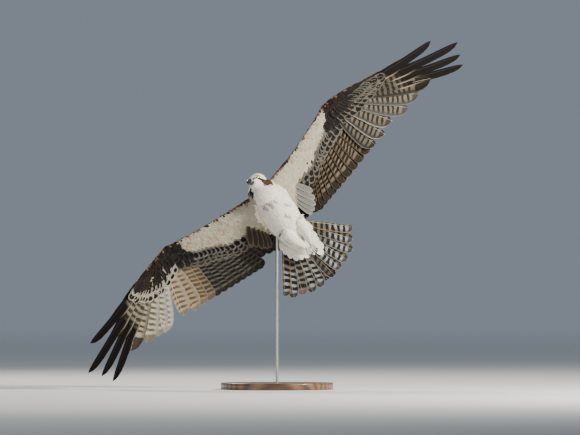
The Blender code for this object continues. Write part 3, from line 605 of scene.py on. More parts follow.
def handQuills(b):
    i = np.arange(len(b["primaries"]))
    out = wing["primaryStart"] + wing["primaryStep"] * i
    roots = b["wrist"] + np.outer(out, b["bone"]) - forwardWay * wing["handSetback"]
    ways = swept(b["handSpan"], b["primarySweep"])
    return roots, ways, np.array(b["primaries"]), np.array(wing["primaryRise"])


def armQuills(b):
    count = wing["secondaryCount"]
    j = np.arange(count)
    share = j / (count - 1)
    length = mix(*b["secondaries"], share) - b["secondaryBow"] * 4 * share * (1 - share)
    place = ((j + wing["secondaryStart"]) / count)[:, None]
    roots = mix(b["wrist"], b["elbow"], place)
    ways = swept(b["span"], mix(*b["secondarySweep"], share))
    place = (wing["tertialStart"] + wing["tertialStep"] * np.arange(len(b["tertials"])))[:, None]
    roots = np.concatenate((roots, mix(b["elbow"], b["shoulder"], place))) - forwardWay * wing["armSetback"]
    ways = np.concatenate((ways, swept(b["span"], b["tertialSweep"])))
    length = np.concatenate((length, b["tertials"]))
    return roots, ways, length, np.full(len(length), wing["armRise"])


bones = {label: wingBones(label) for label in wings}


# Skin: one body of torso, neck, head, legs, wing flesh and tail root

def torsoRings(inset):
    stations = np.linspace(-0.172, 0.105, 40)
    return [
        oval((x, 0, 0), leftWay, upWay, *(curveThrough(torso["rows"], x) - inset), count=40) for x in stations
    ]


def neckRings(inset):
    start, rings = np.array((0.1, 0, 0)), []
    first = curveThrough(torso["rows"], 0.105)
    for t in np.linspace(0, 1, 16):
        ease, bulge = t * t * (3 - 2 * t), math.sin(math.pi * t)
        centre = mix(start, headCentre, t)
        centre[2] = headCentre[2] * ease
        centre = centre + np.array(torso["neckSway"]) * bulge
        size = mix(first, torso["neckEnd"], ease) - inset + torso["neckSwell"] * bulge
        rings.append(oval(centre, leftWay, upWay, *size, count=36))
    return rings


def inHead(points):
    return (np.asarray(points, float) - headCentre) @ headTurn


def fromHead(points):
    return np.asarray(points, float) @ headTurn.T + headCentre


def headRings(inset):
    return [
        fromHead(oval((x, 0, 0), leftWay, upWay, *(curveThrough(head["rows"], x) - inset), count=36))
        for x in np.linspace(-0.0325, 0.0318, 26)
    ]


def legPath(side):
    rows = np.array(leg["rows"])
    share = (rows[0, 0] - rows[:, 0]) / (rows[0, 0] - rows[-1, 0])
    path = rows[:, :3] * (1, side, 1)
    path[:, 1] += leg["shift"] * share
    stations = np.linspace(0, 1, 20)
    path = curveThrough(np.column_stack((share, path)), stations)
    radii = curveThrough(np.column_stack((share, rows[:, 3])), stations)[:, 0]
    return path, radii


airfoil = ((0, 0), (0.02, 0.32), (0.09, 0.68), (0.25, 1), (0.55, 0.92), (0.8, 0.74), (1, 0.52))


def wingRings(b, inset):
    rings = []

    def ring(front, back, up, thickness):
        share, height = np.array(airfoil).T
        line = mix(front, back, share[:, None])
        lift = np.outer(height * (thickness / 2 - inset), up)
        rings.append(np.concatenate((line + lift, (line - lift)[:0:-1])))

    wristFront = b["wrist"][0] + wing["leadingMargin"]
    for share in np.linspace(-0.02, 1, 14):
        thickness, reach = curveThrough(wing["armRows"], share)
        line = mix(b["shoulder"], b["wrist"], share)
        turn = mix(b["shoulder"], b["elbow"], min(1, share / 0.5))
        if share > 0.5:
            turn = mix(b["elbow"], b["wrist"], (share - 0.5) / 0.5)
        front, back = line.copy(), line.copy()
        front[0] = mix(b["leadingRoot"], wristFront, max(0, share) ** 2) - inset
        back[0] = turn[0] - reach
        ring(front, back, b["up"], thickness)
    for distance in np.linspace(0.030, 0.178, 9):
        thickness, reach = curveThrough(wing["handRows"], distance)
        line = b["wrist"] + b["bone"] * distance
        margin = b["handMargin"] * min(1, (0.2 - distance) / 0.09) - inset
        ring(line + forwardWay * margin, line - forwardWay * reach, b["handUp"], thickness)
    return rings


def eyePlace(side):
    centre = fromHead(np.array(eye["centre"]) * (1, side, 1))
    line = headTurn @ (unit(eye["line"]) * (1, side, 1))
    return centre, line


def makeSkin():
    lofts = [loft(torsoRings(torso["coatDepth"])), loft(neckRings(torso["coatDepth"])),
             loft(headRings(head["coatDepth"]))]
    for side in (1, -1):
        path, radii = legPath(side)
        lofts.append(loft(tubeRings(path, radii - leg["coatDepth"], 20)))
    for b in bones.values():
        lofts.append(loft(wingRings(b, wing["coatDepth"])))
    form = bmesh.new()
    for mesh in lofts:
        form.from_mesh(mesh)
    whole = bpy.data.meshes.new("whole")
    form.to_mesh(whole)
    form.free()
    body = bpy.data.objects.new("body", whole)
    bpy.context.scene.collection.objects.link(body)
    remesh = body.modifiers.new("one skin", "REMESH")
    remesh.mode, remesh.voxel_size = "VOXEL", 0.0019
    smooth = body.modifiers.new("soft joins", "SMOOTH")
    smooth.factor, smooth.iterations = 0.5, 5
    cutters = []
    for side in (1, -1):
        centre, line = eyePlace(side)
        path = [centre - line * 0.004, centre + line * 0.004, centre + line * 0.03]
        cutter = bpy.data.objects.new("socket", loft(tubeRings(path, (0.0079, 0.0062, 0.0085), 28)))
        bpy.context.scene.collection.objects.link(cutter)
        cut = body.modifiers.new("eye opening", "BOOLEAN")
        cut.operation, cut.object, cut.solver = "DIFFERENCE", cutter, "MANIFOLD"
        cutters.append(cutter)
    mesh = settled(body)
    for cutter in cutters:
        bpy.data.objects.remove(cutter, do_unlink=True)
    mesh.shade_smooth()
    return mesh


skinMesh = makeSkin()
skinPoints = np.zeros(len(skinMesh.vertices) * 3, np.float32)
skinMesh.vertices.foreach_get("co", skinPoints)
skinPoints = skinPoints.reshape(-1, 3).astype(float)
skinNormals = np.zeros(len(skinPoints) * 3, np.float32)
skinMesh.vertices.foreach_get("normal", skinNormals)
skinNormals = skinNormals.reshape(-1, 3).astype(float)
skinTree = BVHTree.FromPolygons(
    [tuple(p) for p in skinPoints], [tuple(f.vertices) for f in skinMesh.polygons]
)
print("skin", len(skinMesh.polygons), "faces")


rayReach = 0.08


def surfaceUnder(point, up, below):
    # where the skin faces -up (below) or +up at a point of the wing
    way = -up if below else up
    start = np.asarray(point) + way * rayReach
    hit = skinTree.ray_cast(Vector(start), Vector(-way), 2 * rayReach)[0]
    return None if hit is None else np.array(hit)


# Markings: the colour of small feathers and of the skin under them, by their place on the bird, with painted
# shade on the wing lining and painted rim light on the leading edges

def wingSide(points):
    # 1 on the left wing, -1 on the right, 0 on the body
    width = curveThrough(torso["rows"], np.clip(points[:, 0], -0.172, 0.105))[:, 0]
    onWing = (np.abs(points[:, 1]) > width + 0.003) & (points[:, 0] > -0.075)
    return np.where(onWing, np.sign(points[:, 1]), 0)


def headShare(points):
    # 1 on the head, falling to 0 down the neck
    return 1 - ramp(np.linalg.norm(inHead(points), axis=1), 0.034, 0.048)


def speckle(points, size, seed):
    # repeatable noise in cells of a size, 0 to 1
    cell = np.floor(points / size).astype(int)
    mixed = cell[:, 0] * 73856093 ^ cell[:, 1] * 19349663 ^ cell[:, 2] * 83492791 ^ seed
    return (mixed % 1009) / 1008


face = {
    # station ahead of the head's centre, angle of the stripe's middle from the crown, half width
    "stripe": ((-0.045, 118, 30), (-0.034, 120, 28), (-0.022, 132, 20), (-0.010, 132, 21), (0.002, 124, 18),
               (0.010, 110, 13), (0.016, 96, 14), (0.024, 76, 10), (0.030, 76, 12)),
    "neckStripe": (121, 22),
    "crownFlecks": 0.05,
}
breast = {
    # dark flecks, x and y on the underside
    "flecks": ((0.092, -0.020), (0.094, -0.011), (0.082, -0.015), (0.083, -0.035), (0.094, 0.011),
               (0.103, -0.022), (0.089, 0.001), (0.097, -0.007), (0.018, 0.010), (-0.001, 0.010),
               (0.059, 0.025), (0.047, 0.035), (0.120, -0.060), (0.109, -0.064), (0.028, 0.004)),
    "size": 0.0030,
}
# Where the white lining ends and the dark feathers begin under each wing: distance out, place forward
liningRear = {
    "left": ((0.050, -0.050), (0.100, 0.000), (0.137, 0.015), (0.170, 0.035), (0.212, 0.045), (0.251, 0.061),
             (0.287, 0.079), (0.308, 0.105), (0.320, 0.135), (0.332, 0.185)),
    "right": ((0.050, -0.070), (0.096, -0.038), (0.106, -0.016), (0.154, 0.006), (0.206, 0.022),
              (0.273, 0.050), (0.298, 0.078), (0.308, 0.110), (0.316, 0.140), (0.330, 0.190)),
}


def pastLining(points, label):
    # more than 0 where the underside is dark
    rows = np.array(liningRear[label])
    edge = np.interp(np.abs(points[:, 1]), rows[:, 0], rows[:, 1])
    return edge + (speckle(points, 0.006, 3) - 0.5) * 0.014 - points[:, 0]


def plumage(points, normals):
    # the colour at each point and how much of a dark fleck it lies in
    n = len(points)
    local = inHead(points)
    apart = np.linalg.norm(local, axis=1)
    onHead = headShare(points)[:, None]
    white = np.array(tint["white"])
    fine = speckle(points, 0.006, 5)[:, None]
    colour = mix(white, tint["cream"], fine * 0.12) * np.ones((n, 3))
    # back and upper wings
    side = wingSide(points)
    ridge = mix(0.10, 0.45, ramp(points[:, 0], 0.07, 0.115))
    upper = ramp(normals[:, 2], ridge - 0.10, ridge + 0.15)
    upper = np.where(side != 0, ramp(normals[:, 2], -0.05, 0.25), upper)[:, None]
    colour = mix(colour, mix(tint["backBrown"], tint["brown"], fine), upper * (1 - onHead))
    # head: a dark stripe from the beak through the eye and down the neck, a flecked crown, a brown nape
    turn = np.degrees(np.arctan2(np.abs(local[:, 1]), local[:, 2]))
    middle, half = curveThrough(face["stripe"], np.clip(local[:, 0], -0.045, 0.03)).T
    neckward = ramp(apart, 0.035, 0.043)
    middle, half = mix(middle, face["neckStripe"][0], neckward), mix(half, face["neckStripe"][1], neckward)
    stripe = 1 - ramp(np.abs(turn - middle), half * 0.8, half * 1.15)
    stripe = (stripe * (1 - ramp(apart, 0.052, 0.060)) * (side == 0))[:, None]
    warm = ramp(-local[:, 0], -0.012, 0.004)[:, None] * ramp(turn, 112, 128)[:, None]
    colour = mix(colour, mix(tint["dark"], (0.085, 0.038, 0.018), warm), stripe)
    flecks = (speckle(points, 0.0028, 11) < face["crownFlecks"]) & (turn < 55)
    nape = (1 - ramp(turn, 24, 44)) * (1 - ramp(local[:, 0], -0.034, -0.026))
    crown = np.maximum(flecks * 0.8, nape * 0.8)[:, None] * onHead
    colour = mix(colour, tint["brown"], crown)
    for label, b in bones.items():
        on = side == b["side"]
        below = on & (normals[:, 2] < 0.1)
        past = pastLining(points, label)
        lining, black = below & (past < 0), below & (past >= 0)
        fleck = speckle(points, 0.008, 7)
        rusty, spot = lining & (fleck < 0.09), lining & (fleck > 0.93) & (past > -0.022)
        # the lining's grey-cream is painted shade over white feathers
        colour[lining] = mix(tint["lining"], tint["cream"], fine[lining] * 0.25)
        colour[rusty] = mix(tint["lining"], tint["rust"], 0.45)
        colour[spot] = tint["dark"]
        colour[black] = mix(tint["black"], tint["dark"], fine[black] * 0.8)
        # a thin dotted line on the leading edge: dark dots as marks, with painted rim light in rust on the
        # forward-facing edge between them
        edge = on & (normals[:, 0] > 0.72)
        dots = speckle(points, 0.010, 13)
        dotsAndRimLightTint = np.where((dots < 0.45)[:, None], tint["dark"], mix(tint["rust"], tint["brown"], 0.45))
        colour[edge] = dotsAndRimLightTint[edge]
    flecked = np.zeros(n)
    for x, y in breast["flecks"]:
        away = (points[:, 0] - x) ** 2 + (points[:, 1] - y) ** 2
        flecked = np.maximum(flecked, np.exp(-away / (2 * breast["size"] ** 2)) * (normals[:, 2] < 0))
    return colour, flecked


skinTint = plumage(skinPoints, skinNormals)[0]
layer = skinMesh.attributes.new("ground", "FLOAT_COLOR", "POINT")
opaque = np.column_stack((skinTint, np.ones(len(skinTint))))
layer.data.foreach_set("color", opaque.astype(np.float32).ravel())
birdPiece("skin", skinMesh, "skin", "body_feathers", "torso", "neck", "head", "leg_left", "leg_right")


# Vanes: each feather is a thin closed sheet whose upper and lower faces share their rim

def vaneGrid(rows, halfColumns):
    columns = 2 * halfColumns + 1
    top = np.arange(rows * columns).reshape(rows, columns)
    bottom = top.copy()
    inner = bottom[1:-1, 1:-1]
    bottom[1:-1, 1:-1] = rows * columns + np.arange(inner.size).reshape(inner.shape)
    quads, corners, faceSide = [], [], []
    for sheet, flip in ((top, False), (bottom, True)):
        r, c = (v.ravel() for v in np.meshgrid(np.arange(rows - 1), np.arange(columns - 1), indexing="ij"))
        around = [(r, c), (r, c + 1), (r + 1, c + 1), (r + 1, c)]
        if flip:
            around = around[::-1]
        quads.append(np.stack([sheet[a, b] for a, b in around], 1))
        corners.append(np.stack([a * columns + b for a, b in around], 1))
        faceSide.append(np.full(len(r), int(flip)))
    return top, bottom, np.concatenate(quads), np.concatenate(corners), np.concatenate(faceSide)


def vanes(f, web, rows=30, halfColumns=4, tipRound=0.04, easing=1.35, ragged=0.0, camber=0.06):
    # f holds root, way, up, side, length, width, bend, slope and thick, one row or value a feather
    n = len(f["root"])
    full = {k: np.broadcast_to(np.asarray(v, float), (n,) + np.shape(v)[1:] if np.ndim(v) else (n,))
            for k, v in f.items()}
    root, way, up = full["root"], unit(full["way"]), full["up"]
    out = unit(np.cross(way, up)) * full["side"][:, None]
    up = unit(np.cross(out, way) * full["side"][:, None])
    tilt = np.radians(full["slope"])[:, None]
    across = out * np.cos(tilt) + up * np.sin(tilt)
    normal = up * np.cos(tilt) - out * np.sin(tilt)
    share = 1 - (1 - np.linspace(0, 1, rows)) ** easing
    outer, inner = curveThrough(web, share).T
    close = np.clip((1 - share) / tipRound, 0, 1)
    close = np.maximum(np.sqrt(close * (2 - close)), 0.10)
    outer, inner = np.maximum(outer, 0.01) * close, np.maximum(inner, 0.01) * close
    c = np.linspace(-1, 1, 2 * halfColumns + 1)
    offset = np.where(c < 0, outer[:, None], inner[:, None]) * -c  # towards the outer web is plus
    offset = offset[None] * full["width"][:, None, None]
    if ragged:
        nick = 1 - ragged * dice.random((n, rows, 1)) ** 4
        offset = offset * mix(1, nick, (np.abs(c) ** 3)[None, None, :])
    reach = share[None, :] * full["length"][:, None]
    arch = full["bend"][:, None] * reach**2
    shaft = root[:, None] + way[:, None] * reach[..., None] + up[:, None] * arch[..., None]
    droop = -camber * np.abs(offset) * np.abs(c)
    sheet = shaft[:, :, None] + across[:, None, None] * offset[..., None]
    sheet = sheet + normal[:, None, None] * droop[..., None]
    thin = (1 - c**2) * 0.5 * mix(1, 0.35, share)[:, None]
    thin[0], thin[-1] = 0, 0
    lift = normal[:, None, None] * (thin[None] * full["thick"][:, None, None])[..., None]
    topSheet, bottomSheet = sheet + lift, sheet - lift
    top, bottom, quads, corners, faceSide = vaneGrid(rows, halfColumns)
    flip = np.where(full["side"] > 0)[0]
    count = int(bottom.max()) + 1
    points = np.zeros((n, count, 3))
    points[:, top.ravel()] = topSheet.reshape(n, -1, 3)
    insideOf = bottom[1:-1, 1:-1].ravel()
    points[:, insideOf] = bottomSheet[:, 1:-1, 1:-1].reshape(n, -1, 3)
    faces = quads[None] + (np.arange(n) * count)[:, None, None]
    cornersAll = np.broadcast_to(corners[None], (n,) + corners.shape).copy()
    faces[flip], cornersAll[flip] = faces[flip][:, :, ::-1], cornersAll[flip][:, :, ::-1]
    grid = {
        "along": np.broadcast_to(reach[:, :, None], offset.shape),
        "across": -offset,
        "fromTip": np.broadcast_to((full["length"][:, None] - reach)[:, :, None], offset.shape),
        "share": np.broadcast_to(share[None, :, None], offset.shape),
        "web": np.broadcast_to(c[None, None, :], offset.shape),
    }
    return {
        "points": points.reshape(-1, 3), "faces": faces.reshape(-1, 4), "corners": cornersAll, "n": n,
        "under": np.broadcast_to(faceSide[None], (n, len(faceSide))), "grid": grid,
        "shaft": shaft, "normal": normal,
    }


def atCorners(v, values):
    # values of shape (n, rows, columns, k) at every face corner
    n = v["n"]
    flat = np.asarray(values, float).reshape(n, -1, values.shape[-1])
    index = v["corners"].reshape(n, -1)
    return flat[np.arange(n)[:, None], index].reshape(-1, values.shape[-1])


def gridOf(v, value):
    # one value or colour a feather, spread over its grid
    value = np.asarray(value, float)
    shape = v["grid"]["web"].shape
    if value.ndim == 1:
        value = np.broadcast_to(value, (v["n"], len(value)))
    if value.ndim == 2:
        value = value[:, None, None, :]
    return np.broadcast_to(value, shape + (value.shape[-1],))


def vaneFields(v, looks, topLooks=None):
    # looks are the colours and rhythm of the face that shows from below, topLooks those of the other
    g = v["grid"]
    fields = {
        "place": atCorners(v, np.stack((g["along"], g["across"], g["fromTip"]), -1)),
        "share": atCorners(v, np.stack((g["share"], g["web"], np.zeros(g["web"].shape)), -1)),
    }
    under = np.repeat(v["under"].ravel(), 4)[:, None]
    for key, value in looks.items():
        low = atCorners(v, gridOf(v, value))
        if topLooks and key in topLooks:
            high = atCorners(v, gridOf(v, topLooks[key]))
            low = np.where(under > 0.5, low, high)
        fields[key] = low
    return fields


def stripMap(v):
    # the two faces of each vane side by side, each as a strip of the map
    n = v["n"]
    strips = 2 * n
    g = v["grid"]
    uv = atCorners(v, np.stack((g["web"] * 0.44 + 0.5, g["share"] * 0.98 + 0.01), -1))
    face = np.repeat((v["under"] + 2 * np.arange(n)[:, None]).ravel(), 4)
    perRow = max(1, math.ceil(math.sqrt(strips * 0.5))) if n > 24 else strips
    rowsOfStrips = math.ceil(strips / perRow)
    column, row = face % perRow, face // perRow
    return np.column_stack(((column + uv[:, 0]) / perRow, (row + uv[:, 1]) / rowsOfStrips))


def shaftTubes(v, radius, looks):
    # a tapering six-sided quill through each vane, seen as a ridge on both faces
    sides = 6
    n, rows = v["shaft"].shape[:2]
    step = max(1, rows // 14)
    keep = np.arange(0, rows, step)
    line = v["shaft"][:, keep]
    run = unit(np.gradient(line, axis=1))
    rise = np.broadcast_to(v["normal"][:, None], line.shape)
    side = unit(np.cross(run, rise))
    share = np.linspace(0, 1, len(keep))
    size = radius[:, None] * (1 - share[None] ** 1.2 * 0.82)
    turn = np.arange(sides) * 2 * math.pi / sides
    cosines, sines = (values[None, None, :, None] for values in (np.cos(turn), np.sin(turn)))
    ring = side[:, :, None] * cosines + rise[:, :, None] * sines
    points = line[:, :, None] + ring * size[:, :, None, None]
    faces = np.array(ringFaces(len(keep), sides))
    count = len(keep) * sides
    faces = faces[None] + (np.arange(n) * count)[:, None, None]
    ends = np.array([(0, 3, 2, 1), (0, 5, 4, 3)])
    tipEnds = ends[:, ::-1] + count - sides
    caps = np.concatenate((ends, tipEnds))[None] + (np.arange(n) * count)[:, None, None]
    faces = np.concatenate((faces, caps), 1)
    faces = faces.reshape(-1, 4)[:, ::-1]
    total = faces.size
    owner = np.repeat(np.arange(n), total // n)
    fields = {
        "place": np.tile((0.0, 0.0, 0.1), (total, 1)),
        "share": np.tile((0.5, 0.0, 1.0), (total, 1)),
    }
    for key, value in looks.items():
        value = np.asarray(value, float)
        if value.ndim > 2:
            value = value[:, 0, 0]
        fields[key] = value[owner] if value.ndim == 2 else np.tile(value, (total, 1))
    # a narrow strip at the map's edge
    corner = np.arange(total)
    uv = np.column_stack((0.997 + 0.002 * (corner % 2), (owner + 0.5 + 0.3 * (corner % 4 > 1)) / n))
    return points.reshape(-1, 3), faces, fields, uv


def joined(parts):
    # several (points, faces, fields, uv) as one mesh's arrays
    points, faces, uvs, start = [], [], [], 0
    for p, f, _, uv in parts:
        points.append(p)
        faces.append(f + start)
        uvs.append(uv)
        start += len(p)
    fields = {k: np.concatenate([part[2][k] for part in parts]) for k in parts[0][2]}
    return np.concatenate(points), np.concatenate(faces), fields, np.concatenate(uvs)


def vanePiece(name, parts, finish, slot, *nodes):
    points, faces, fields, uv = joined(parts)
    piece = birdPiece(name, meshFrom(name, points, faces, fields, uv), finish, slot, *nodes)
    print(name, len(faces) * 2, "triangles")
    return piece


def flightPart(f, web, looks, topLooks, shaftRadius, **options):
    v = vanes(f, web, **options)
    looks = looks(v)
    sheets = (v["points"], v["faces"], vaneFields(v, looks, topLooks), stripMap(v))
    return [sheets, shaftTubes(v, shaftRadius, looks)]


# Flight feathers

flight = {
    "rows": 40, "halfColumns": 5,
    "secondaryWidth": 0.044, "primaryWidth": 0.050, "fingerWidth": 0.042, "thick": 0.0009,
}


def colourRows(n, name):
    return np.tile(np.asarray(tint[name] if isinstance(name, str) else name, float), (n, 1))


def jitter(rows, amount):
    return np.clip(rows * (1 + (dice.random((len(rows), 1)) - 0.5) * 2 * amount), 0, 1)


topVane = {
    "ground": tint["dark"], "barTint": tint["brown"], "tipTint": tint["dark"],
    "rimTint": mix(tint["dark"], tint["paleEdge"], 0.25), "rhythm": (0.02, 0.01, 0.5), "habit": (0.0, 0, 0),
}

secondaryLooks = {
    # dark ground with rows of pale spots on the inner web
    "left": {"ground": (0.300, 0.235, 0.160), "bar": (0.030, 0.022, 0.016), "spacing": 0.0165, "tip": 0.044},
    "right": {"ground": (0.300, 0.300, 0.270), "bar": (0.052, 0.047, 0.041), "spacing": 0.0170, "tip": 0.024},
    # shade darkens both wings' rows as painted shade on the underside
    "shade": 0.384,
    # the right wing's outermost two are warm and pale like the inner primaries, as painted light shining
    # through them
    "warmShares": (0.9, 0.55),
    "warm": {"pale": (0.36, 0.28, 0.19), "dark": (0.15, 0.10, 0.062), "tip": (0.24, 0.17, 0.11),
             "rim": (0.48, 0.38, 0.27)},
}


def overWeb(v, innermost, outermost, low, high):
    # one colour a feather by the shaft that turns into another towards the inner margin
    share = ramp(v["grid"]["web"], low, high)[..., None]
    return mix(gridOf(v, innermost), gridOf(v, outermost), share)


def armLooks(label):
    s, shade = secondaryLooks[label], secondaryLooks["shade"]
    last = wing["secondaryCount"]
    n = last + len(wings[label]["tertials"])
    pale = jitter(colourRows(n, s["ground"]) * shade, 0.18)
    dark = jitter(colourRows(n, s["bar"]) * shade, 0.22)
    tip = dark * 0.8
    rim = mix(dark, tint["paleEdge"], 0.30)
    pale[last:] = mix(dark[last:], pale[last:], 0.18)
    pale[last - 2:last] = mix(dark[last - 2:last], pale[last - 2:last], 0.5)
    if label == "right":
        warm = secondaryLooks["warm"]
        for k, share in enumerate(secondaryLooks["warmShares"]):
            for rows, key in ((pale, "pale"), (dark, "dark"), (tip, "tip"), (rim, "rim")):
                rows[k] = mix(rows[k], warm[key], share)
    rhythm = np.column_stack((np.full(n, s["spacing"]), np.full(n, s["tip"]), np.full(n, 1.0)))
    rhythm[:, :2] *= 1 + (dice.random((n, 1)) - 0.5) * 0.12

    def looks(v):
        # no pale spots on the outer web or along the inner margin
        ground = overWeb(v, pale, dark * 1.25, 0.72, 0.95)
        ground = mix(gridOf(v, dark * 1.2), ground, ramp(v["grid"]["web"], -0.35, 0.15)[..., None])
        return {
            "ground": ground, "barTint": gridOf(v, dark), "tipTint": gridOf(v, tip),
            "rimTint": gridOf(v, rim), "shaftTint": gridOf(v, mix(dark, tint["cream"], 0.3)),
            "rhythm": gridOf(v, rhythm), "habit": gridOf(v, (-0.35, 0, 0)),
        }

    return looks


primaryLooks = {
    # of P1 to P6: pale between the bars, bar, inner margin, tip, tip band, margin line
    "left": (
        ((0.34, 0.31, 0.25), (0.05, 0.04, 0.03), (0.085, 0.078, 0.070), (0.050, 0.042, 0.036), 0.024, 0.30),
        ((0.40, 0.36, 0.29), (0.05, 0.04, 0.03), (0.120, 0.112, 0.104), (0.075, 0.062, 0.052), 0.024, 0.75),
        ((0.44, 0.40, 0.31), (0.055, 0.044, 0.032), (0.17, 0.16, 0.15), (0.110, 0.092, 0.078), 0.026, 0.85),
        ((0.46, 0.41, 0.32), (0.06, 0.048, 0.034), (0.2, 0.192, 0.185), (0.160, 0.145, 0.130), 0.028, 0.35),
        ((0.46, 0.41, 0.31), (0.06, 0.048, 0.034), (0.19, 0.182, 0.175), (0.130, 0.110, 0.095), 0.030, 0.30),
        ((0.32, 0.27, 0.20), (0.04, 0.032, 0.024), (0.085, 0.075, 0.062), (0.014, 0.010, 0.008), 0.075, 0.15),
    ),
    "right": (
        ((0.50, 0.39, 0.26), (0.150, 0.095, 0.055), (0.46, 0.36, 0.25), (0.30, 0.21, 0.135), 0.020, 0.75),
        ((0.56, 0.45, 0.32), (0.170, 0.110, 0.065), (0.54, 0.44, 0.32), (0.26, 0.185, 0.12), 0.022, 0.80),
        ((0.78, 0.74, 0.63), (0.24, 0.18, 0.11), (0.66, 0.66, 0.62), (0.46, 0.40, 0.31), 0.026, 0.45),
        ((0.78, 0.73, 0.60), (0.20, 0.15, 0.09), (0.62, 0.61, 0.55), (0.34, 0.27, 0.19), 0.030, 0.45),
        ((0.76, 0.70, 0.56), (0.17, 0.125, 0.075), (0.56, 0.54, 0.47), (0.24, 0.18, 0.12), 0.036, 0.45),
        ((0.62, 0.54, 0.41), (0.080, 0.058, 0.038), (0.30, 0.26, 0.20), (0.030, 0.022, 0.016), 0.062, 0.25),
    ),
    # painted shade and light: shade darkens the rows, the left wing's far more; the right wing's pale rows
    # are painted light shining through the feathers
    "shade": {"left": 0.3025, "right": 0.612},
    # the right wing's margin lines take rust as painted rim light
    "spacing": 0.0185, "rim": (0.40, 0.39, 0.35), "paintedRimLight": {"left": 0.0, "right": 0.22},
}


def primaryRows(label):
    rows, shade = primaryLooks[label], primaryLooks["shade"][label]
    n = len(rows)
    pale, bar, margin, tip = (
        jitter(np.array([row[k] for row in rows], float) * shade, 0.06) for k in range(4)
    )
    line = np.array([row[5] for row in rows])[:, None]
    rim = mix(tip, mix(primaryLooks["rim"], tint["rust"], primaryLooks["paintedRimLight"][label]), line)
    bands = [row[4] for row in rows]
    rhythm = np.column_stack((np.full(n, primaryLooks["spacing"]), bands, np.full(n, 0.95)))

    def looks(v):
        return {
            "ground": overWeb(v, pale, margin, 0.55, 0.72),
            "barTint": overWeb(v, bar, margin * 0.88, 0.55, 0.72),
            "tipTint": gridOf(v, tip), "rimTint": gridOf(v, rim), "rhythm": gridOf(v, rhythm),
            "shaftTint": gridOf(v, mix(pale, tint["white"], 0.4)), "habit": gridOf(v, (0.1, 0, 0)),
        }

    return looks


fingerLooks = {
    # the right wing's fingers are paler than the left's: painted light shining through them
    "pale": {"left": (0.07, 0.061, 0.048), "right": (0.24, 0.21, 0.165)}, "rim": (0.40, 0.31, 0.20),
    # share of the length where the notch lies, on the innermost and the outermost finger
    "notch": (0.47, 0.33), "rhythm": (0.020, 0.012, 0.9),
}


def fingerRows(label):
    # black beyond the notch; towards the root the inner web is barred on a pale ground
    pale = np.array(fingerLooks["pale"][label])

    def looks(v):
        g = v["grid"]
        web, share = g["web"], g["share"]
        last = np.arange(v["n"])[:, None, None] / (v["n"] - 1)
        notch = mix(*fingerLooks["notch"], last)
        outward = ramp(share - web * 0.06, notch - 0.08, notch + 0.01)
        outerWeb = 1 - ramp(web, -0.10, 0.10)
        dark = np.maximum(outward, outerWeb * mix(0.85, 1, last))[..., None]
        # a pale line on the inner margin about the notch
        fade = ramp(share, notch - 0.06, notch - 0.01) * (1 - ramp(share, notch + 0.05, notch + 0.22))
        line = (ramp(web, 0.80, 1.0) * fade)[..., None] * 0.9
        ground, bar = (
            mix(mix(colour, tint["black"], dark), fingerLooks["rim"], line) for colour in (pale, pale * 0.12)
        )
        return {
            "ground": ground, "barTint": bar, "tipTint": gridOf(v, tint["black"]),
            "rimTint": mix(ground, tint["dark"], 0.2), "rhythm": gridOf(v, fingerLooks["rhythm"]),
            "shaftTint": gridOf(v, mix(tint["black"], tint["brown"], 0.3)), "habit": gridOf(v, (0.0, 0, 0)),
        }

    return looks


def vaneSet(b, quills, up, chosen, width):
    roots, ways, length, rise = quills
    return {
        "root": roots[chosen], "way": ways[chosen], "up": np.broadcast_to(up, roots[chosen].shape),
        "side": b["side"], "length": length[chosen], "width": width, "bend": rise[chosen],
        "slope": wing["webSlope"], "thick": flight["thick"],
    }


def makeFlight(label):
    b = bones[label]
    options = {"rows": flight["rows"], "halfColumns": flight["halfColumns"], "ragged": 0.05}
    arm, hand = armQuills(b), handQuills(b)
    everyArm = np.arange(len(arm[0]))
    parts = flightPart(
        vaneSet(b, arm, b["up"], everyArm, flight["secondaryWidth"]), webs["secondary"], armLooks(label),
        topVane, np.full(len(everyArm), 0.0011), **options,
    )
    vanePiece("secondaries_" + label, parts, "flight", "flight_feathers", "wing_" + label + "_arm")
    first = wing["fingersFrom"]
    inner, fingers = np.arange(first), np.arange(first, len(hand[0]))
    parts = flightPart(
        vaneSet(b, hand, b["handUp"], inner, flight["primaryWidth"]), webs["primary"], primaryRows(label),
        topVane, np.full(len(inner), 0.0014), **options,
    )
    vanePiece("primaries_" + label, parts, "flight", "flight_feathers", "wing_" + label + "_hand")
    parts = flightPart(
        vaneSet(b, hand, b["handUp"], fingers, flight["fingerWidth"]), webs["finger"], fingerRows(label),
        topVane, np.full(len(fingers), 0.0018), **options,
    )
    vanePiece("fingers_" + label, parts, "flight", "flight_feathers", "wing_" + label + "_hand")


for label in wings:
    makeFlight(label)


# Tail

tail = {
    "centre": (-0.0212, 0.0062, 0.0321), "droop": 15, "start": 0.064,
    "turns": (-36.4, -29.8, -22.6, -15.2, -7.8, -1.5, 4.0, 11, 18.5, 26.3, 33.5, 42.3),
    "reaches": (0.256, 0.265, 0.264, 0.268, 0.267, 0.262, 0.266, 0.263, 0.265, 0.265, 0.252, 0.244),
    "top": 5, "topRaise": 0.0026, "width": 0.040,
    "ground": (0.11, 0.10, 0.088), "bar": (0.016, 0.013, 0.011), "spacing": 0.0195,
    "tip": (0.026, 0.021, 0.018), "tipBand": 0.021, "outerRim": (0.34, 0.21, 0.10), "thick": 0.0008,
    # from the bird's right: one feather has a brown tip, one is nearly black
    "brownTipped": 2, "brownTip": (0.11, 0.068, 0.043), "blackest": 6,
}
tailDroop = math.radians(tail["droop"])
tailBack = np.array((-math.cos(tailDroop), 0, -math.sin(tailDroop)))
tailUp = np.array((-math.sin(tailDroop), 0, math.cos(tailDroop)))


def tailWay(turn):
    turn = np.radians(turn)
    return np.multiply.outer(np.cos(turn), tailBack) + np.multiply.outer(np.sin(turn), leftWay)


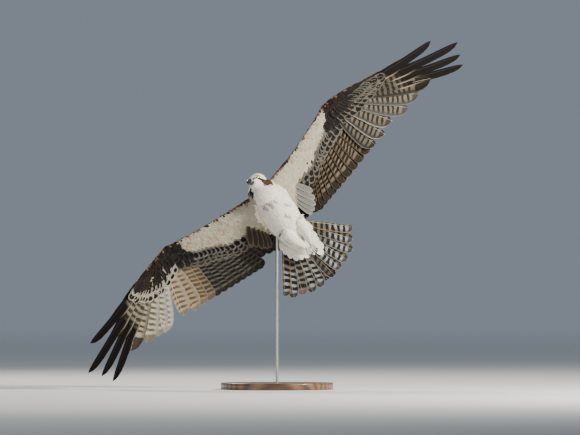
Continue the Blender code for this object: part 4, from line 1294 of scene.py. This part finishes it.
def makeTail():
    turns, reaches = np.array(tail["turns"]), np.array(tail["reaches"])
    n, top = len(turns), tail["top"]
    ways = tailWay(turns)
    k = np.arange(n)
    roots = np.array(tail["centre"]) + ways * tail["start"] + np.outer((k == top) * tail["topRaise"], tailUp)
    brownish = jitter(colourRows(n, tail["ground"]), 0.10)
    bar = jitter(colourRows(n, tail["bar"]), 0.12)
    tip = jitter(colourRows(n, tail["tip"]), 0.1)
    rim = mix(tip, tint["white"], 0.28)
    brown, black = tail["brownTipped"], tail["blackest"]
    brownish[black], tip[black] = mix(brownish[black], tint["dark"], 0.85), tint["black"]
    tip[brown] = tail["brownTip"]
    # painted light: the sky shows through most feathers, little through the brown-tipped and the blackest
    sky = mix(brownish, tint["sky"], np.where((k == black) | (k == brown), 0.1, 0.85)[:, None])
    rim[[0, -1]] = tail["outerRim"]
    rhythm = np.column_stack((np.full(n, tail["spacing"]), np.full(n, tail["tipBand"]), np.full(n, 1.0)))
    shaft = mix(brownish, tint["cream"], 0.6)
    topLooks = {"ground": (0.16, 0.13, 0.10), "barTint": tint["dark"], "tipTint": tint["dark"],
                "rimTint": tint["paleEdge"]}

    def looksOf(chosen):
        def rows(v):
            # the middle of the inner web is the palest: painted sky light showing through the thin web
            web = v["grid"]["web"]
            window = ramp(web, -0.15, 0.15) * (1 - ramp(web, 0.45, 0.75))
            window = window * ramp(v["grid"]["share"], 0.45, 0.65)
            ground = mix(gridOf(v, brownish[chosen]), gridOf(v, sky[chosen]), window[..., None])
            return {
                "ground": ground, "barTint": gridOf(v, bar[chosen]), "tipTint": gridOf(v, tip[chosen]),
                "rimTint": gridOf(v, rim[chosen]), "shaftTint": gridOf(v, shaft[chosen]),
                "rhythm": gridOf(v, rhythm[chosen]), "habit": gridOf(v, (-0.15, 0, 0)),
            }

        return rows

    parts = []
    for web, chosen in (("tail", k[1:-1]), ("tailEdge", k[[0, -1]])):
        f = {
            "root": roots[chosen], "way": ways[chosen], "up": np.broadcast_to(tailUp, (len(chosen), 3)),
            "side": np.where(chosen <= top, -1.0, 1.0), "length": (reaches - tail["start"])[chosen],
            "width": tail["width"], "bend": -0.02, "slope": np.where(chosen == top, 0.0, wing["webSlope"]),
            "thick": tail["thick"],
        }
        parts += flightPart(f, webs[web], looksOf(chosen), topLooks, np.full(len(chosen), 0.0011),
                            rows=flight["rows"], halfColumns=flight["halfColumns"], ragged=0.05)
    # the two outermost feathers take the second half of the map
    points, faces, fields, uv = joined(parts)
    outermost = np.arange(len(faces)) >= len(parts[0][1]) + len(parts[1][1])
    uv[:, 0] = uv[:, 0] * 0.5 + np.repeat(outermost * 0.5, 4)
    vanePiece("tail_feathers", [(points, faces, fields, uv)], "flight", "flight_feathers", "tail")


makeTail()


# Covert rows: medium feathers laid in rows over and under the flight feathers

def quillLine(b, number):
    # root, direction, up and bend at a quill number: 0 the innermost tertial, 4 to 13 the
    # secondaries from within outwards, 14 to 23 the primaries
    armRoot, armWay, _, armBend = armQuills(b)
    handRoot, handWay, _, handBend = handQuills(b)
    inward = np.arange(len(armRoot))[::-1]
    ups = np.concatenate((np.tile(b["up"], (len(armRoot), 1)), np.tile(b["handUp"], (len(handRoot), 1))))
    columns = np.column_stack((
        np.concatenate((armRoot[inward], handRoot)), np.concatenate((armWay[inward], handWay)), ups,
        np.concatenate((armBend[inward], handBend)),
    ))
    keys = np.arange(len(columns))
    values = np.column_stack([np.interp(number, keys, column) for column in columns.T])
    return values[:, :3], unit(values[:, 3:6]), unit(values[:, 6:9]), values[:, 9]


hidden = -1.0  # in place of a height, where no skin lies over the quills


def heightAt(point, up, below, lift):
    # how far a feather has to stand off a point of the quill plane to clear the skin
    skinPoint = surfaceUnder(point, up, below)
    if skinPoint is None:
        return hidden
    off = (skinPoint - point) @ up * (-1 if below else 1)
    return off + lift if abs(off) < 0.03 else hidden


covertThick = 0.0006


def covertRow(b, row, below):
    # roots sunk in the skin, tips resting on the flight feathers
    first, last = row["quills"]
    count = row["count"]
    number = first + (last - first) * (np.arange(count) + 0.5) / count
    root, way, up, bend = quillLine(b, number)
    sign = -1.0 if below else 1.0
    keys, values = np.array(row["behind"]).T
    behind = np.interp(number, keys, values) * (1 + (dice.random(count) - 0.5) * 0.08)
    length = row["length"]
    curve = np.zeros(count)
    base, tip = np.zeros((count, 3)), np.zeros((count, 3))
    for k in range(count):
        stations = behind[k] - length * np.array((1.0, 0.5, 0.0))
        onPlane = root[k] + np.outer(stations, way[k]) + np.outer(bend[k] * stations * abs(stations), up[k])
        foot = heightAt(onPlane[0], up[k], below, -0.0006)
        middle = heightAt(onPlane[1], up[k], below, 0.0012)
        end = max(heightAt(onPlane[2], up[k], below, 0.0010), row["clear"])
        foot = row["clear"] * 0.8 if foot == hidden else foot
        base[k] = onPlane[0] + up[k] * sign * foot
        tip[k] = onPlane[2] + up[k] * sign * end
        bulge = max(0.0, middle - (foot + end) / 2)
        curve[k] = -sign * 4 * min(bulge, 0.004) / length**2
        tip[k] -= up[k] * curve[k] * length**2
    line = tip - base
    width = row["width"] * (1 + (dice.random(count) - 0.5) * 0.12)
    return {
        "root": base, "way": unit(line), "up": up, "side": b["side"] * 1.0,
        "length": np.linalg.norm(line, axis=1), "width": width,
        "bend": curve, "slope": 5.0, "thick": covertThick, "tip": tip,
    }


def rowsOf(table, edge, behind):
    # the rows of one side of a wing as dictionaries; edge colours and tip places are worked out here
    keys = ("quills", "count", "tips", "length", "width", "clear", "ground", "blot", "blotch")
    rows = [dict(zip(keys, line)) for line in table]
    for row in rows:
        shift, scale = row["tips"]
        row["behind"] = tuple((number, reach * scale - shift) for number, reach in behind)
        row["ground"] = edge if row["ground"] == "edge" else row["ground"]
    return rows


# How far the coverts reach behind the quills, by quill number
reachBehind = {
    "left": ((0, 0.050), (3, 0.034), (5, 0.030), (7, 0.044), (10, 0.066), (13, 0.088), (14, 0.090),
             (17, 0.098), (19, 0.108), (21, 0.112), (23, 0.100)),
    "right": ((0, 0.082), (3, 0.070), (5, 0.062), (7, 0.068), (10, 0.080), (13, 0.078), (14, 0.088),
              (16, 0.118), (19, 0.114), (21, 0.098), (23, 0.074)),
    "over": ((0, 0.080), (13, 0.098), (14, 0.100), (19, 0.112), (23, 0.100)),
}
edges = {"left": (0.095, 0.088, 0.072), "right": (0.10, 0.096, 0.082), "over": (0.085, 0.060, 0.040)}
coverts = {
    # quills, count, shift and scale of the reach, length, width, clearance, ground, blotch colour, and
    # the blotch's centre and radius as shares of the length, and its strength
    "left": (
        ((0, 13.5), 13, (0, 1), 0.055, 0.030, 0.0060, "edge", "black", (0.66, 0.27, 1.0)),
        ((0.4, 13.5), 15, (0.021, 1), 0.042, 0.027, 0.0078, "edge", "black", (0.66, 0.28, 1.0)),
        ((11, 13.8), 6, (0.044, 1), 0.036, 0.024, 0.0090, "dark", "black", (0.60, 0.40, 1.0)),
        ((13.4, 23), 13, (0, 1), 0.070, 0.025, 0.0050, "edge", "black", (0.80, 0.19, 1.0)),
        ((13.4, 23), 13, (0, 0.76), 0.052, 0.024, 0.0064, "edge", "black", (0.72, 0.30, 1.0)),
        ((13.4, 23), 14, (0, 0.52), 0.044, 0.024, 0.0078, "edge", "black", (0.50, 0.52, 1.0)),
    ),
    "right": (
        ((0, 13.5), 13, (0, 1), 0.055, 0.030, 0.0060, "edge", "dark", (0.66, 0.27, 1.0)),
        ((0.4, 13.5), 15, (0.018, 1), 0.044, 0.027, 0.0078, "edge", "black", (0.66, 0.29, 1.0)),
        ((0.4, 13.5), 16, (0.036, 1), 0.036, 0.024, 0.0092, "grey", "black", (0.60, 0.36, 1.0)),
        ((13.4, 23), 13, (0, 1), 0.070, 0.027, 0.0050, "lining", "black", (0.80, 0.15, 1.0)),
        ((13.6, 23), 12, (0, 0.80), 0.055, 0.026, 0.0064, "lining", "black", (0.62, 0.33, 1.0)),
        ((13.4, 23), 13, (0, 0.60), 0.050, 0.026, 0.0078, "dark", "black", (0.50, 0.60, 1.0)),
    ),
    "over": (
        ((0, 23), 34, (0, 1), 0.078, 0.033, 0.0060, "edge", "backBrown", (0.45, 0.68, 1.0)),
        ((0, 23), 38, (0, 0.68), 0.054, 0.028, 0.0078, "edge", "backBrown", (0.45, 0.68, 1.0)),
        ((0, 23), 44, (0, 0.44), 0.038, 0.023, 0.0092, "edge", "backBrown", (0.45, 0.68, 1.0)),
    ),
}
# The shorter under coverts turn black between these distances out
blackPatch = {"longest": 0.045, "left": (0.30, 0.44), "right": (0.30, 0.40)}


def coverPart(f, looksOf, rows=14):
    v = vanes({k: f[k] for k in f if k != "tip"}, webs["covert"], rows=rows, halfColumns=3,
              tipRound=0.10, ragged=0.10, camber=0.10)
    return [v["points"], v["faces"], vaneFields(v, looksOf(v["n"])), stripMap(v)]


def stacked(parts):
    # each part gets its own band of the map
    for k, part in enumerate(parts):
        part[3][:, 1] = (part[3][:, 1] + k) / len(parts)
    return parts


def makeCovertRows(label, below):
    key = label if below else "over"
    parts = []
    for row in rowsOf(coverts[key], edges[key], reachBehind[key]):
        f = covertRow(bones[label], row, below)
        out = np.abs(f["tip"][:, 1])
        nearest, furthest = blackPatch[label]
        short = below and row["length"] < blackPatch["longest"]
        dark = (out > nearest) & (out < furthest) & short

        def looksOf(n):
            ground = jitter(colourRows(n, row["ground"]), 0.12)
            ground[dark] = mix(ground[dark], tint["black"], 0.85)
            moved, grown = 1 + (dice.random(n) - 0.5) * 0.08, 1 + (dice.random(n) - 0.5) * 0.3
            blotch = colourRows(n, row["blotch"]) * np.column_stack((moved, grown, np.ones(n)))
            return {"ground": ground, "barTint": jitter(colourRows(n, row["blot"]), 0.25), "rhythm": blotch}

        parts.append(coverPart(f, looksOf))
    name = ("under" if below else "upper") + "_coverts_" + label
    vanePiece(name, stacked(parts), "covert", "flight_feathers")


for label in wings:
    makeCovertRows(label, True)
    makeCovertRows(label, False)


# Axillars: the long soft feathers of each armpit, x and distance out of their tips
axillars = {
    "left": {"tips": ((-0.020, 0.134), (-0.045, 0.127), (-0.064, 0.117), (-0.075, 0.104), (-0.078, 0.090)),
             "ground": (0.19, 0.187, 0.175), "blot": (0.13, 0.128, 0.12)},
    # the right wing's are darker and browner than the left's: painted shade
    "right": {"tips": ((-0.024, 0.128), (-0.040, 0.116), (-0.056, 0.104), (-0.066, 0.092), (-0.070, 0.080)),
              "ground": (0.085, 0.072, 0.052), "blot": (0.022, 0.017, 0.012)},
    "roots": ((0.050, 0.098), (0.034, 0.088), (0.018, 0.080), (0.004, 0.074), (-0.008, 0.070)),
    "width": 0.021, "sink": -0.0005, "lift": 0.0015, "drop": 0.004, "clear": 0.0085, "bow": 0.0035,
}


def makeAxillars(label):
    b, a = bones[label], axillars[label]
    count = len(a["tips"])

    def standing(places, lift, drop):
        # points off the wing's plane that clear the skin
        points = []
        for x, y in places:
            point = b["shoulder"] + b["span"] * (y - abs(b["shoulder"][1])) / abs(b["span"][1])
            point = point + forwardWay * (x - point[0]) - b["up"] * drop
            points.append(point - b["up"] * max(heightAt(point, b["up"], True, lift), axillars["clear"]))
        return np.array(points)

    base = standing(axillars["roots"], axillars["sink"], 0)
    line = standing(a["tips"], axillars["lift"], axillars["drop"]) - base
    length = np.linalg.norm(line, axis=1)
    way = unit(line - b["up"] * 4 * axillars["bow"])
    f = {
        "root": base, "way": way, "up": np.tile(b["up"], (count, 1)), "side": b["side"] * 1.0,
        "length": length, "width": axillars["width"], "bend": 4 * axillars["bow"] / length**2, "slope": 4.0,
        "thick": covertThick,
    }

    def looksOf(n):
        return {"ground": jitter(colourRows(n, a["ground"]), 0.08), "barTint": colourRows(n, a["blot"]),
                "rhythm": colourRows(n, (0.5, 0.5, 0.9))}

    vanePiece("axillars_" + label, [coverPart(f, looksOf, rows=16)], "covert", "body_feathers")


for label in wings:
    makeAxillars(label)


# Small feathers over the skin

def thinned(points, spacing):
    # indices of points at least spacing apart, taken in a shuffled order
    cells, kept = {}, []
    keys = np.floor(points / spacing).astype(int)
    steps = [(dx, dy, dz) for dx in (-1, 0, 1) for dy in (-1, 0, 1) for dz in (-1, 0, 1)]
    for i in dice.permutation(len(points)):
        (cx, cy, cz), (x, y, z) = keys[i], points[i]
        near = (q for dx, dy, dz in steps for q in cells.get((cx + dx, cy + dy, cz + dz), ()))
        if any((x - q[0]) ** 2 + (y - q[1]) ** 2 + (z - q[2]) ** 2 < spacing * spacing for q in near):
            continue
        cells.setdefault((cx, cy, cz), []).append((x, y, z))
        kept.append(i)
    return np.array(kept)


def wingLie(points, b):
    # direction of the lining over a wing: back at the body, turning outwards along the hand
    out = (points - b["shoulder"]) @ unit(b["wrist"] - b["shoulder"]) / b["reach"]
    beyond = (points - b["wrist"]) @ b["bone"]
    angle = np.interp(out, (0, 0.5, 0.9, 1.0), (112, 106, 96, 84))
    handAngle = np.interp(beyond, (0, 0.06, 0.13, 0.18), (84, 62, 36, 22))
    angle = np.radians(np.where(beyond > 0, handAngle, angle))[:, None]
    return unit(np.cos(angle) * b["span"] - np.sin(angle) * forwardWay)


def lie(points, normals):
    # direction in which each small feather lies, along the skin
    way = np.tile(-forwardWay - upWay * 0.25, (len(points), 1))
    way[:, 1] += points[:, 1] * 3.0
    onHead = headShare(points)[:, None]
    way = mix(way, -headTurn[:, 0][None], onHead)
    side = wingSide(points)
    for b in bones.values():
        on = side == b["side"]
        way[on] = wingLie(points[on], b)
    return unit(way - (way * normals).sum(1, keepdims=True) * normals)


coat = {
    # spacing, length, half width and lift in degrees
    "face": (0.0019, 0.0046, 0.0014, 9), "crown": (0.0026, 0.0080, 0.0021, 9),
    "neck": (0.0042, 0.0145, 0.0036, 9), "body": (0.0054, 0.0215, 0.0050, 7),
    "legs": (0.0036, 0.0110, 0.0027, 8), "lining": (0.0064, 0.0180, 0.0053, 6),
    "margin": (0.0040, 0.0095, 0.0030, 7),
}


def regions():
    # which skin points carry which kind of small feather
    local = inHead(skinPoints)
    apart = np.linalg.norm(local, axis=1)
    side = wingSide(skinPoints)
    onHead = (apart < 0.036) & (side == 0)
    onFace = onHead & (local[:, 0] > 0.004)
    onNeck = ~onHead & (side == 0) & (skinPoints[:, 0] > 0.085)
    legNear = np.zeros(len(skinPoints), bool)
    for s in (1, -1):
        path, radii = legPath(s)
        gap = np.linalg.norm(skinPoints[:, None] - path[None], axis=2) - radii[None]
        legNear |= (gap.min(1) < 0.0005) & (skinPoints[:, 0] < -0.018) & (skinPoints[:, 2] < -0.04)
    onMargin = (side != 0) & (skinNormals[:, 0] > 0.45)
    for b in bones.values():
        onMargin |= (side == b["side"]) & (((skinPoints - b["wrist"]) @ b["bone"]) > 0.10)
    inEye = np.zeros(len(skinPoints), bool)
    for s in (1, -1):
        centre, line = eyePlace(s)
        rel = skinPoints - centre
        out = rel @ line
        inEye |= (np.linalg.norm(rel - out[:, None] * line, axis=1) < eye["radius"]) & (out > -0.01)
        inEye |= np.linalg.norm(rel, axis=1) < 0.0095
    atBill = onHead & (local[:, 0] > 0.0305)
    free = ~inEye & ~atBill
    return {
        "face": onFace & free, "crown": onHead & ~onFace & free, "neck": onNeck & free,
        "legs": legNear & free, "margin": onMargin & free,
        "lining": (side != 0) & ~onMargin & free,
        "body": (side == 0) & ~onHead & ~onNeck & ~legNear & free,
    }


def bodyMap(points, normals, region):
    # unwrap of the skin round its own axis, or by plan and side on the wings
    if region in ("lining", "margin"):
        u = points[:, 1] / 1.3 + 0.5
        v = (points[:, 0] + 0.08) / 0.30 * 0.46
        return np.column_stack((u, np.where(normals[:, 2] < 0, v, v + 0.5)))
    if region in ("face", "crown"):
        local = inHead(points)
        turn = np.arctan2(local[:, 1], local[:, 2])
        return np.column_stack((turn / (2 * math.pi) + 0.5, (local[:, 0] + 0.045) / 0.09))
    turn = np.arctan2(points[:, 1], -points[:, 2])
    return np.column_stack((turn / (2 * math.pi) + 0.5, (points[:, 0] + 0.19) / 0.36))


def smallFeathers(region, chosen):
    spacing, length, half, lift = coat[region]
    points, normals = skinPoints[chosen], skinNormals[chosen]
    kept = thinned(points, spacing)
    points, normals = points[kept], normals[kept]
    n = len(points)
    way = lie(points, normals)
    turn = (dice.random(n) - 0.5) * 0.35
    sideways = np.cross(normals, way)
    way = unit(way * np.cos(turn)[:, None] + sideways * np.sin(turn)[:, None])
    rise = np.radians(lift * (0.7 + 0.6 * dice.random(n)))[:, None]
    length = length * (0.85 + 0.3 * dice.random(n))
    if region == "body":
        length = length * mix(1.0, 1.25, ramp(-points[:, 0], 0.02, 0.12))
    tips = points + way * length[:, None] * 0.7
    f = {
        "root": points - way * length[:, None] * 0.25 + normals * 0.0001,
        "way": way * np.cos(rise) + normals * np.sin(rise), "up": normals,
        "side": np.where(dice.random(n) < 0.5, -1.0, 1.0), "length": length,
        "width": 2.1 * half * (0.85 + 0.3 * dice.random(n)),
        "bend": -np.tan(rise[:, 0]) / length * 0.75, "slope": (dice.random(n) - 0.5) * 8,
        "thick": 0.00025 if region in ("face", "crown") else 0.0004,
    }
    v = vanes(f, webs["covert"], rows=6, halfColumns=2, tipRound=0.2, easing=1.2, camber=0.16)
    colour, flecked = plumage(tips, normals)
    colour = jitter(colour, 0.06)
    bright = colour.mean(1, keepdims=True)
    blot = np.where(bright > 0.2, colour * 0.94, colour * 0.7)
    blot = mix(blot, tint["dark"], np.clip(flecked * 4, 0, 1)[:, None])
    # brown feathers carry a paler edge
    brownish = (bright[:, 0] < 0.12) & (normals[:, 2] > 0)
    ground = np.where(brownish[:, None], mix(colour, tint["paleEdge"], 0.30), colour)
    looks = {
        "ground": ground, "barTint": blot,
        "rhythm": np.column_stack((np.full(n, 0.5), np.full(n, 0.55), np.where(brownish, 0.95, 0.6))),
    }
    g = v["grid"]
    patch = np.stack((g["web"] * 0.0014, (g["share"] - 0.5) * 0.0028), -1)
    uv = atCorners(v, patch + bodyMap(points, normals, region)[:, None, None])
    return v["points"], v["faces"], vaneFields(v, looks), uv


for region, chosen in regions().items():
    part = smallFeathers(region, np.where(chosen)[0])
    vanePiece(region + "_feathers", [part], "down", "body_feathers")


# Tail coverts: long white ones below, brown ones above

tailCoverts = {
    # turn from the middle line and reach
    "below": ((-39, 0.106), (-33, 0.122), (-26, 0.136), (-19, 0.148), (-12, 0.156), (-5, 0.160), (3, 0.168),
              (10, 0.190), (15, 0.170), (22, 0.132), (31, 0.110)),
    "above": ((-30, 0.128), (-22, 0.142), (-14, 0.156), (-5, 0.165), (4, 0.165), (13, 0.156),
              (22, 0.144), (32, 0.128)),
    # scale of the reach, length, shift of the turns, offset from the tail's plane
    "layers": ((1.0, 0.080, 0.0, 0.0070), (0.86, 0.070, 3.5, 0.0100), (0.73, 0.060, -1.0, 0.0130)),
    "width": {"below": 0.024, "above": 0.028},
}


def makeTailCoverts(where):
    sign = -1.0 if where == "below" else 1.0
    turns, reaches = np.array(tailCoverts[where]).T
    count = len(turns)
    parts = []
    for scale, length, shift, offset in tailCoverts["layers"]:
        ways = tailWay(turns + shift)
        reach = reaches * scale * (1 + (dice.random(count) - 0.5) * 0.05)
        length = np.minimum(length, reach - 0.045)
        f = {
            "root": tail["centre"] + ways * (reach - length)[:, None] + tailUp * sign * offset * 1.2,
            "way": ways - tailUp * sign * 0.03, "up": np.broadcast_to(tailUp, ways.shape),
            "side": np.where(turns < 0, -1.0, 1.0), "length": length, "width": tailCoverts["width"][where],
            "bend": -sign * 0.15, "slope": 3.0, "thick": covertThick,
        }

        def looksOf(n):
            colour = jitter(colourRows(n, "white" if where == "below" else "backBrown"), 0.06)
            edge = colour if where == "below" else mix(colour, tint["paleEdge"], 0.5)
            return {"ground": edge, "barTint": colour * 0.93, "rhythm": colourRows(n, (0.5, 0.6, 0.9))}

        parts.append(coverPart(f, looksOf, rows=16))
    name = "undertail_coverts" if where == "below" else "uppertail_coverts"
    vanePiece(name, stacked(parts), "covert", "body_feathers")


makeTailCoverts("below")
makeTailCoverts("above")


# Beak, cere, eyes

beak = {
    # station, height, droop, half width, half height
    "upper": (
        (0.0310, 0.0030, 0, 0.0096, 0.0070), (0.0390, 0.0032, 4, 0.0086, 0.0070),
        (0.0465, 0.0020, 16, 0.0070, 0.0062), (0.0525, -0.0012, 40, 0.0052, 0.0048),
        (0.0558, -0.0058, 66, 0.0036, 0.0034), (0.0567, -0.0108, 86, 0.0022, 0.0021),
        (0.0563, -0.0155, 98, 0.0006, 0.0006),
    ),
    "lower": (
        (0.0310, -0.0064, 0, 0.0088, 0.0036), (0.0400, -0.0062, -2, 0.0072, 0.0032),
        (0.0470, -0.0058, -6, 0.0050, 0.0025), (0.0508, -0.0055, -8, 0.0022, 0.0012),
    ),
    "cereEnd": 0.0385, "flatness": 0.75,
}


def beakRings(rows, start, end, under, swell=0.0, count=28, steps=22):
    table = np.column_stack((np.linspace(0, 1, len(rows)), np.array(rows, float)))
    fine = curveThrough(table, np.linspace(0, 1, 90))
    fine = fine[fine[:, 0] >= start - 1e-6]
    fine = fine[fine[:, 0] <= end] if end < 0.05 else fine
    fine = fine[np.linspace(0, len(fine) - 1, steps).astype(int)]
    rings = []
    for x, z, droop, half, height in fine:
        angle = math.radians(droop)
        up = np.array((math.sin(angle), 0, math.cos(angle)))
        above, below = height + swell, height * under + swell
        rings.append(oval((x, 0, z), leftWay, up, half + swell, above, below, count))
    return rings


def makeBeak():
    place = birdPose @ headPlace
    upper = loft(beakRings(beak["upper"], beak["cereEnd"], 1.0, beak["flatness"], steps=30))
    lower = loft(beakRings(beak["lower"], 0.031, 1.0, 1.0))
    cere = loft(beakRings(beak["upper"], 0.0285, 0.0400, beak["flatness"], swell=0.0003, steps=8))
    for mesh in (upper, lower, cere):
        mesh.shade_smooth()
        mesh.set_sharp_from_angle(angle=math.radians(50))
    birdPiece("bill_upper", upper, "bill", "horn", "beak_upper", place=place)
    birdPiece("bill_lower", lower, "bill", "horn", "beak_lower", place=place)
    birdPiece("bill_cere", cere, "cere", "bare_skin", "cere", place=place)


def ballMesh(radius, segments=40, rings=24):
    form = bmesh.new()
    bmesh.ops.create_uvsphere(form, u_segments=segments, v_segments=rings, radius=radius)
    mesh = bpy.data.meshes.new("ball")
    form.to_mesh(mesh)
    form.free()
    mesh.shade_smooth()
    return mesh


def makeEyes():
    for label, side in (("left", 1), ("right", -1)):
        centre, line = eyePlace(side)
        turn = Vector(line).to_track_quat("Z", "Y").to_matrix().to_4x4()
        place = birdPose @ Matrix.Translation(centre) @ turn
        birdPiece("eyeball_" + label, ballMesh(eye["radius"]), "eye", "eye", "eye_" + label, place=place)
        rings = []
        for a in np.linspace(0, 2 * math.pi, 40, endpoint=False):
            out = np.array((math.cos(a), math.sin(a), 0))
            sit = 0.0063 + 0.0002 * math.cos(2 * a)
            rings.append(oval(out * sit + (0, 0, 0.0051), out, upWay, 0.0008, 0.0008, 0.0016, 10))
        points = np.concatenate(rings)
        faces = np.array(ringFaces(len(rings) + 1, 10)) % len(points)
        birdPiece("lid_" + label, meshFrom("lid", points, faces, sharp=0), "lid", "bare_skin", place=place)


makeBeak()
makeEyes()


# Feet and claws

foot = {
    "length": 0.010, "toeRadius": 0.0034, "toeStep": 0.0062, "sink": 0.002, "arch": 0.001,
    # place across in steps, height over the ankle, length, turn of the claw
    "toes": ((-1.0, -0.001, 0.029, 45), (0.0, -0.001, 0.031, 45), (1.0, -0.001, 0.028, 45),
             (0.5, 0.0062, 0.018, -20)),
    "clawLength": 0.027, "clawRadii": (0.0024, 0.0021, 0.0016, 0.0010, 0.0003), "clawGather": 0.25,
}


def makeFeet():
    for label, side in (("left", 1), ("right", -1)):
        path, _ = legPath(side)
        ankle = path[-1]
        form = bmesh.new()
        shank = [ankle + forwardWay * 0.006, ankle, ankle - forwardWay * foot["length"] * 0.6,
                 ankle - forwardWay * foot["length"]]
        form.from_mesh(loft(tubeRings(shank, (0.0055, 0.0058, 0.0060, 0.0048), 20)))
        claws = bmesh.new()
        for across, height, length, curl in foot["toes"]:
            start = ankle + np.array((-foot["sink"], across * foot["toeStep"] * 0.6, height * 0.4))
            end = ankle + np.array((-length, across * foot["toeStep"], height))
            share = np.linspace(0, 1, 22)
            line = mix(start, end, share[:, None]) + np.outer(np.sin(share * math.pi) * foot["arch"], upWay)
            pads = foot["toeRadius"] * (1 - 0.22 * share + 0.10 * np.cos(share * 6 * math.pi))
            pads[-1] *= 0.7
            form.from_mesh(loft(tubeRings(line, pads, 16)))
            bend = np.radians(curl) * np.linspace(0, 1, 18)
            reach = foot["clawLength"] * np.sin(bend) / math.radians(curl)
            rise = foot["clawLength"] * (1 - np.cos(bend)) / math.radians(curl)
            hook = end + np.column_stack((0.0015 - reach, -across * np.abs(rise) * foot["clawGather"], rise))
            sizes = np.interp(np.linspace(0, 1, 18), np.linspace(0, 1, 5), foot["clawRadii"])
            claws.from_mesh(loft(tubeRings(hook, sizes, 14)))
        toeMesh, clawMesh = bpy.data.meshes.new("toes"), bpy.data.meshes.new("claws")
        form.to_mesh(toeMesh)
        claws.to_mesh(clawMesh)
        form.free()
        claws.free()
        for mesh in (toeMesh, clawMesh):
            mesh.shade_smooth()
        birdPiece("toes_" + label, toeMesh, "toes", "bare_skin", "foot_" + label)
        nodes = ["claw_" + label + "_" + str(k + 1) for k in range(4)]
        birdPiece("claws_" + label, clawMesh, "claw", "horn", *nodes)


makeFeet()
print("beak, eyes and feet made")


# Stand

stand = {"radius": 0.180, "height": 0.022, "bevel": 0.004}


def makeStand():
    r, h, b = stand["radius"], stand["height"], stand["bevel"]
    turn = np.linspace(0, math.pi / 2, 7)
    profile = [(0.02, 0.0), (r - 0.0012, 0.0), (r, 0.0012)]
    profile += [(r - b + b * math.cos(a), h - b + b * math.sin(a)) for a in turn]
    profile += [(0.02, h), (0.0005, h)]
    profile = [(0.0005, 0.0)] + profile
    around = np.linspace(0, 2 * math.pi, 144, endpoint=False)
    points = np.array([(x * math.cos(a), x * math.sin(a), z) for x, z in profile for a in around])
    faces = np.array(ringFaces(len(profile), 144))[:, ::-1]
    mesh = meshFrom("stand_disc", points, faces, sharp=50)
    birdPiece("stand_disc", mesh, "timber", "stand_wood", "stand_base", place=Matrix.Identity(4))
    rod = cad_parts["stand_rod"]
    rod.data.materials.clear()
    rod.data.materials.append(finishes["steel"])


makeStand()


# Stage, lights and camera

stage = {"fade": (6.0, 19.0), "rings": (0.01, 0.5, 3, 20), "sky": (0.40, 0.47, 0.56, 1), "strength": 0.50}


def makeStage():
    # a pale floor that fades out far away, and an even sky
    floor = Finish("pale_floor", Roughness=0.85)
    x, y, _ = floor.parts(floor.coords())
    grain = floor.noise(3.0, 4)
    floor.use(Base_Color=floor.blend((0.70, 0.70, 0.69), (0.74, 0.74, 0.73), grain))
    far = ((x * x + y * y) ** 0.5).between(*stage["fade"])
    clear = floor.node("BsdfTransparent")
    both = floor.node("MixShader", {}, {0: far, 1: Sock(floor, floor.shader.outputs[0]), 2: clear})
    floor.tree.links.new(both.socket, floor.tree.nodes["Material Output"].inputs[0])
    around = np.linspace(0, 2 * math.pi, 96, endpoint=False)
    points = np.array([(x * math.cos(a), x * math.sin(a), 0.0) for x in stage["rings"] for a in around])
    mesh = meshFrom("floor", points, np.array(ringFaces(4, 96)), sharp=0)
    disc = bpy.data.objects.new("floor", mesh)
    disc.data.materials.append(floor.material)
    bpy.context.scene.collection.objects.link(disc)
    world = bpy.data.worlds.new("studio")
    world.use_nodes = True
    background = world.node_tree.nodes["Background"]
    background.inputs[0].default_value, background.inputs[1].default_value = stage["sky"], stage["strength"]
    bpy.context.scene.world = world


lamps = (
    # name, place, aimed at, size, power, colour
    ("key", (2.9, -1.6, 2.0), (0.05, 0, 0.6), 0.7, 300, (1.0, 0.95, 0.84)),
    ("fill", (-2.4, -3.0, 1.0), (0, 0, 0.55), 2.4, 20, (1.0, 0.97, 0.90)),
    ("rim", (-1.4, 2.4, 2.6), (0, 0, 0.6), 1.2, 90, (1.0, 0.91, 0.80)),
)


def makeLights():
    for name, place, target, size, power, colour in lamps:
        lamp = bpy.data.lights.new(name, "AREA")
        lamp.shape, lamp.size, lamp.energy, lamp.color = "DISK", size, power, colour
        holder = bpy.data.objects.new(name, lamp)
        holder.location = place
        holder.rotation_euler = (Vector(target) - Vector(place)).to_track_quat("-Z", "Y").to_euler()
        bpy.context.scene.collection.objects.link(holder)


camera = {"centre": (0.0416, 0.5504), "frameWidth": 1.856, "lens": 600, "sensor": 36}


def makeCamera():
    data = bpy.data.cameras.new("camera")
    data.lens, data.sensor_width = camera["lens"], camera["sensor"]
    data.clip_start, data.clip_end = 0.5, 200
    eyePoint = bpy.data.objects.new("camera", data)
    x, z = camera["centre"]
    eyePoint.location = (x, -camera["frameWidth"] * camera["lens"] / camera["sensor"], z)
    eyePoint.rotation_euler = (math.pi / 2, 0, 0)
    bpy.context.scene.collection.objects.link(eyePoint)
    bpy.context.scene.camera = eyePoint


makeStage()
makeLights()
makeCamera()

print("done")
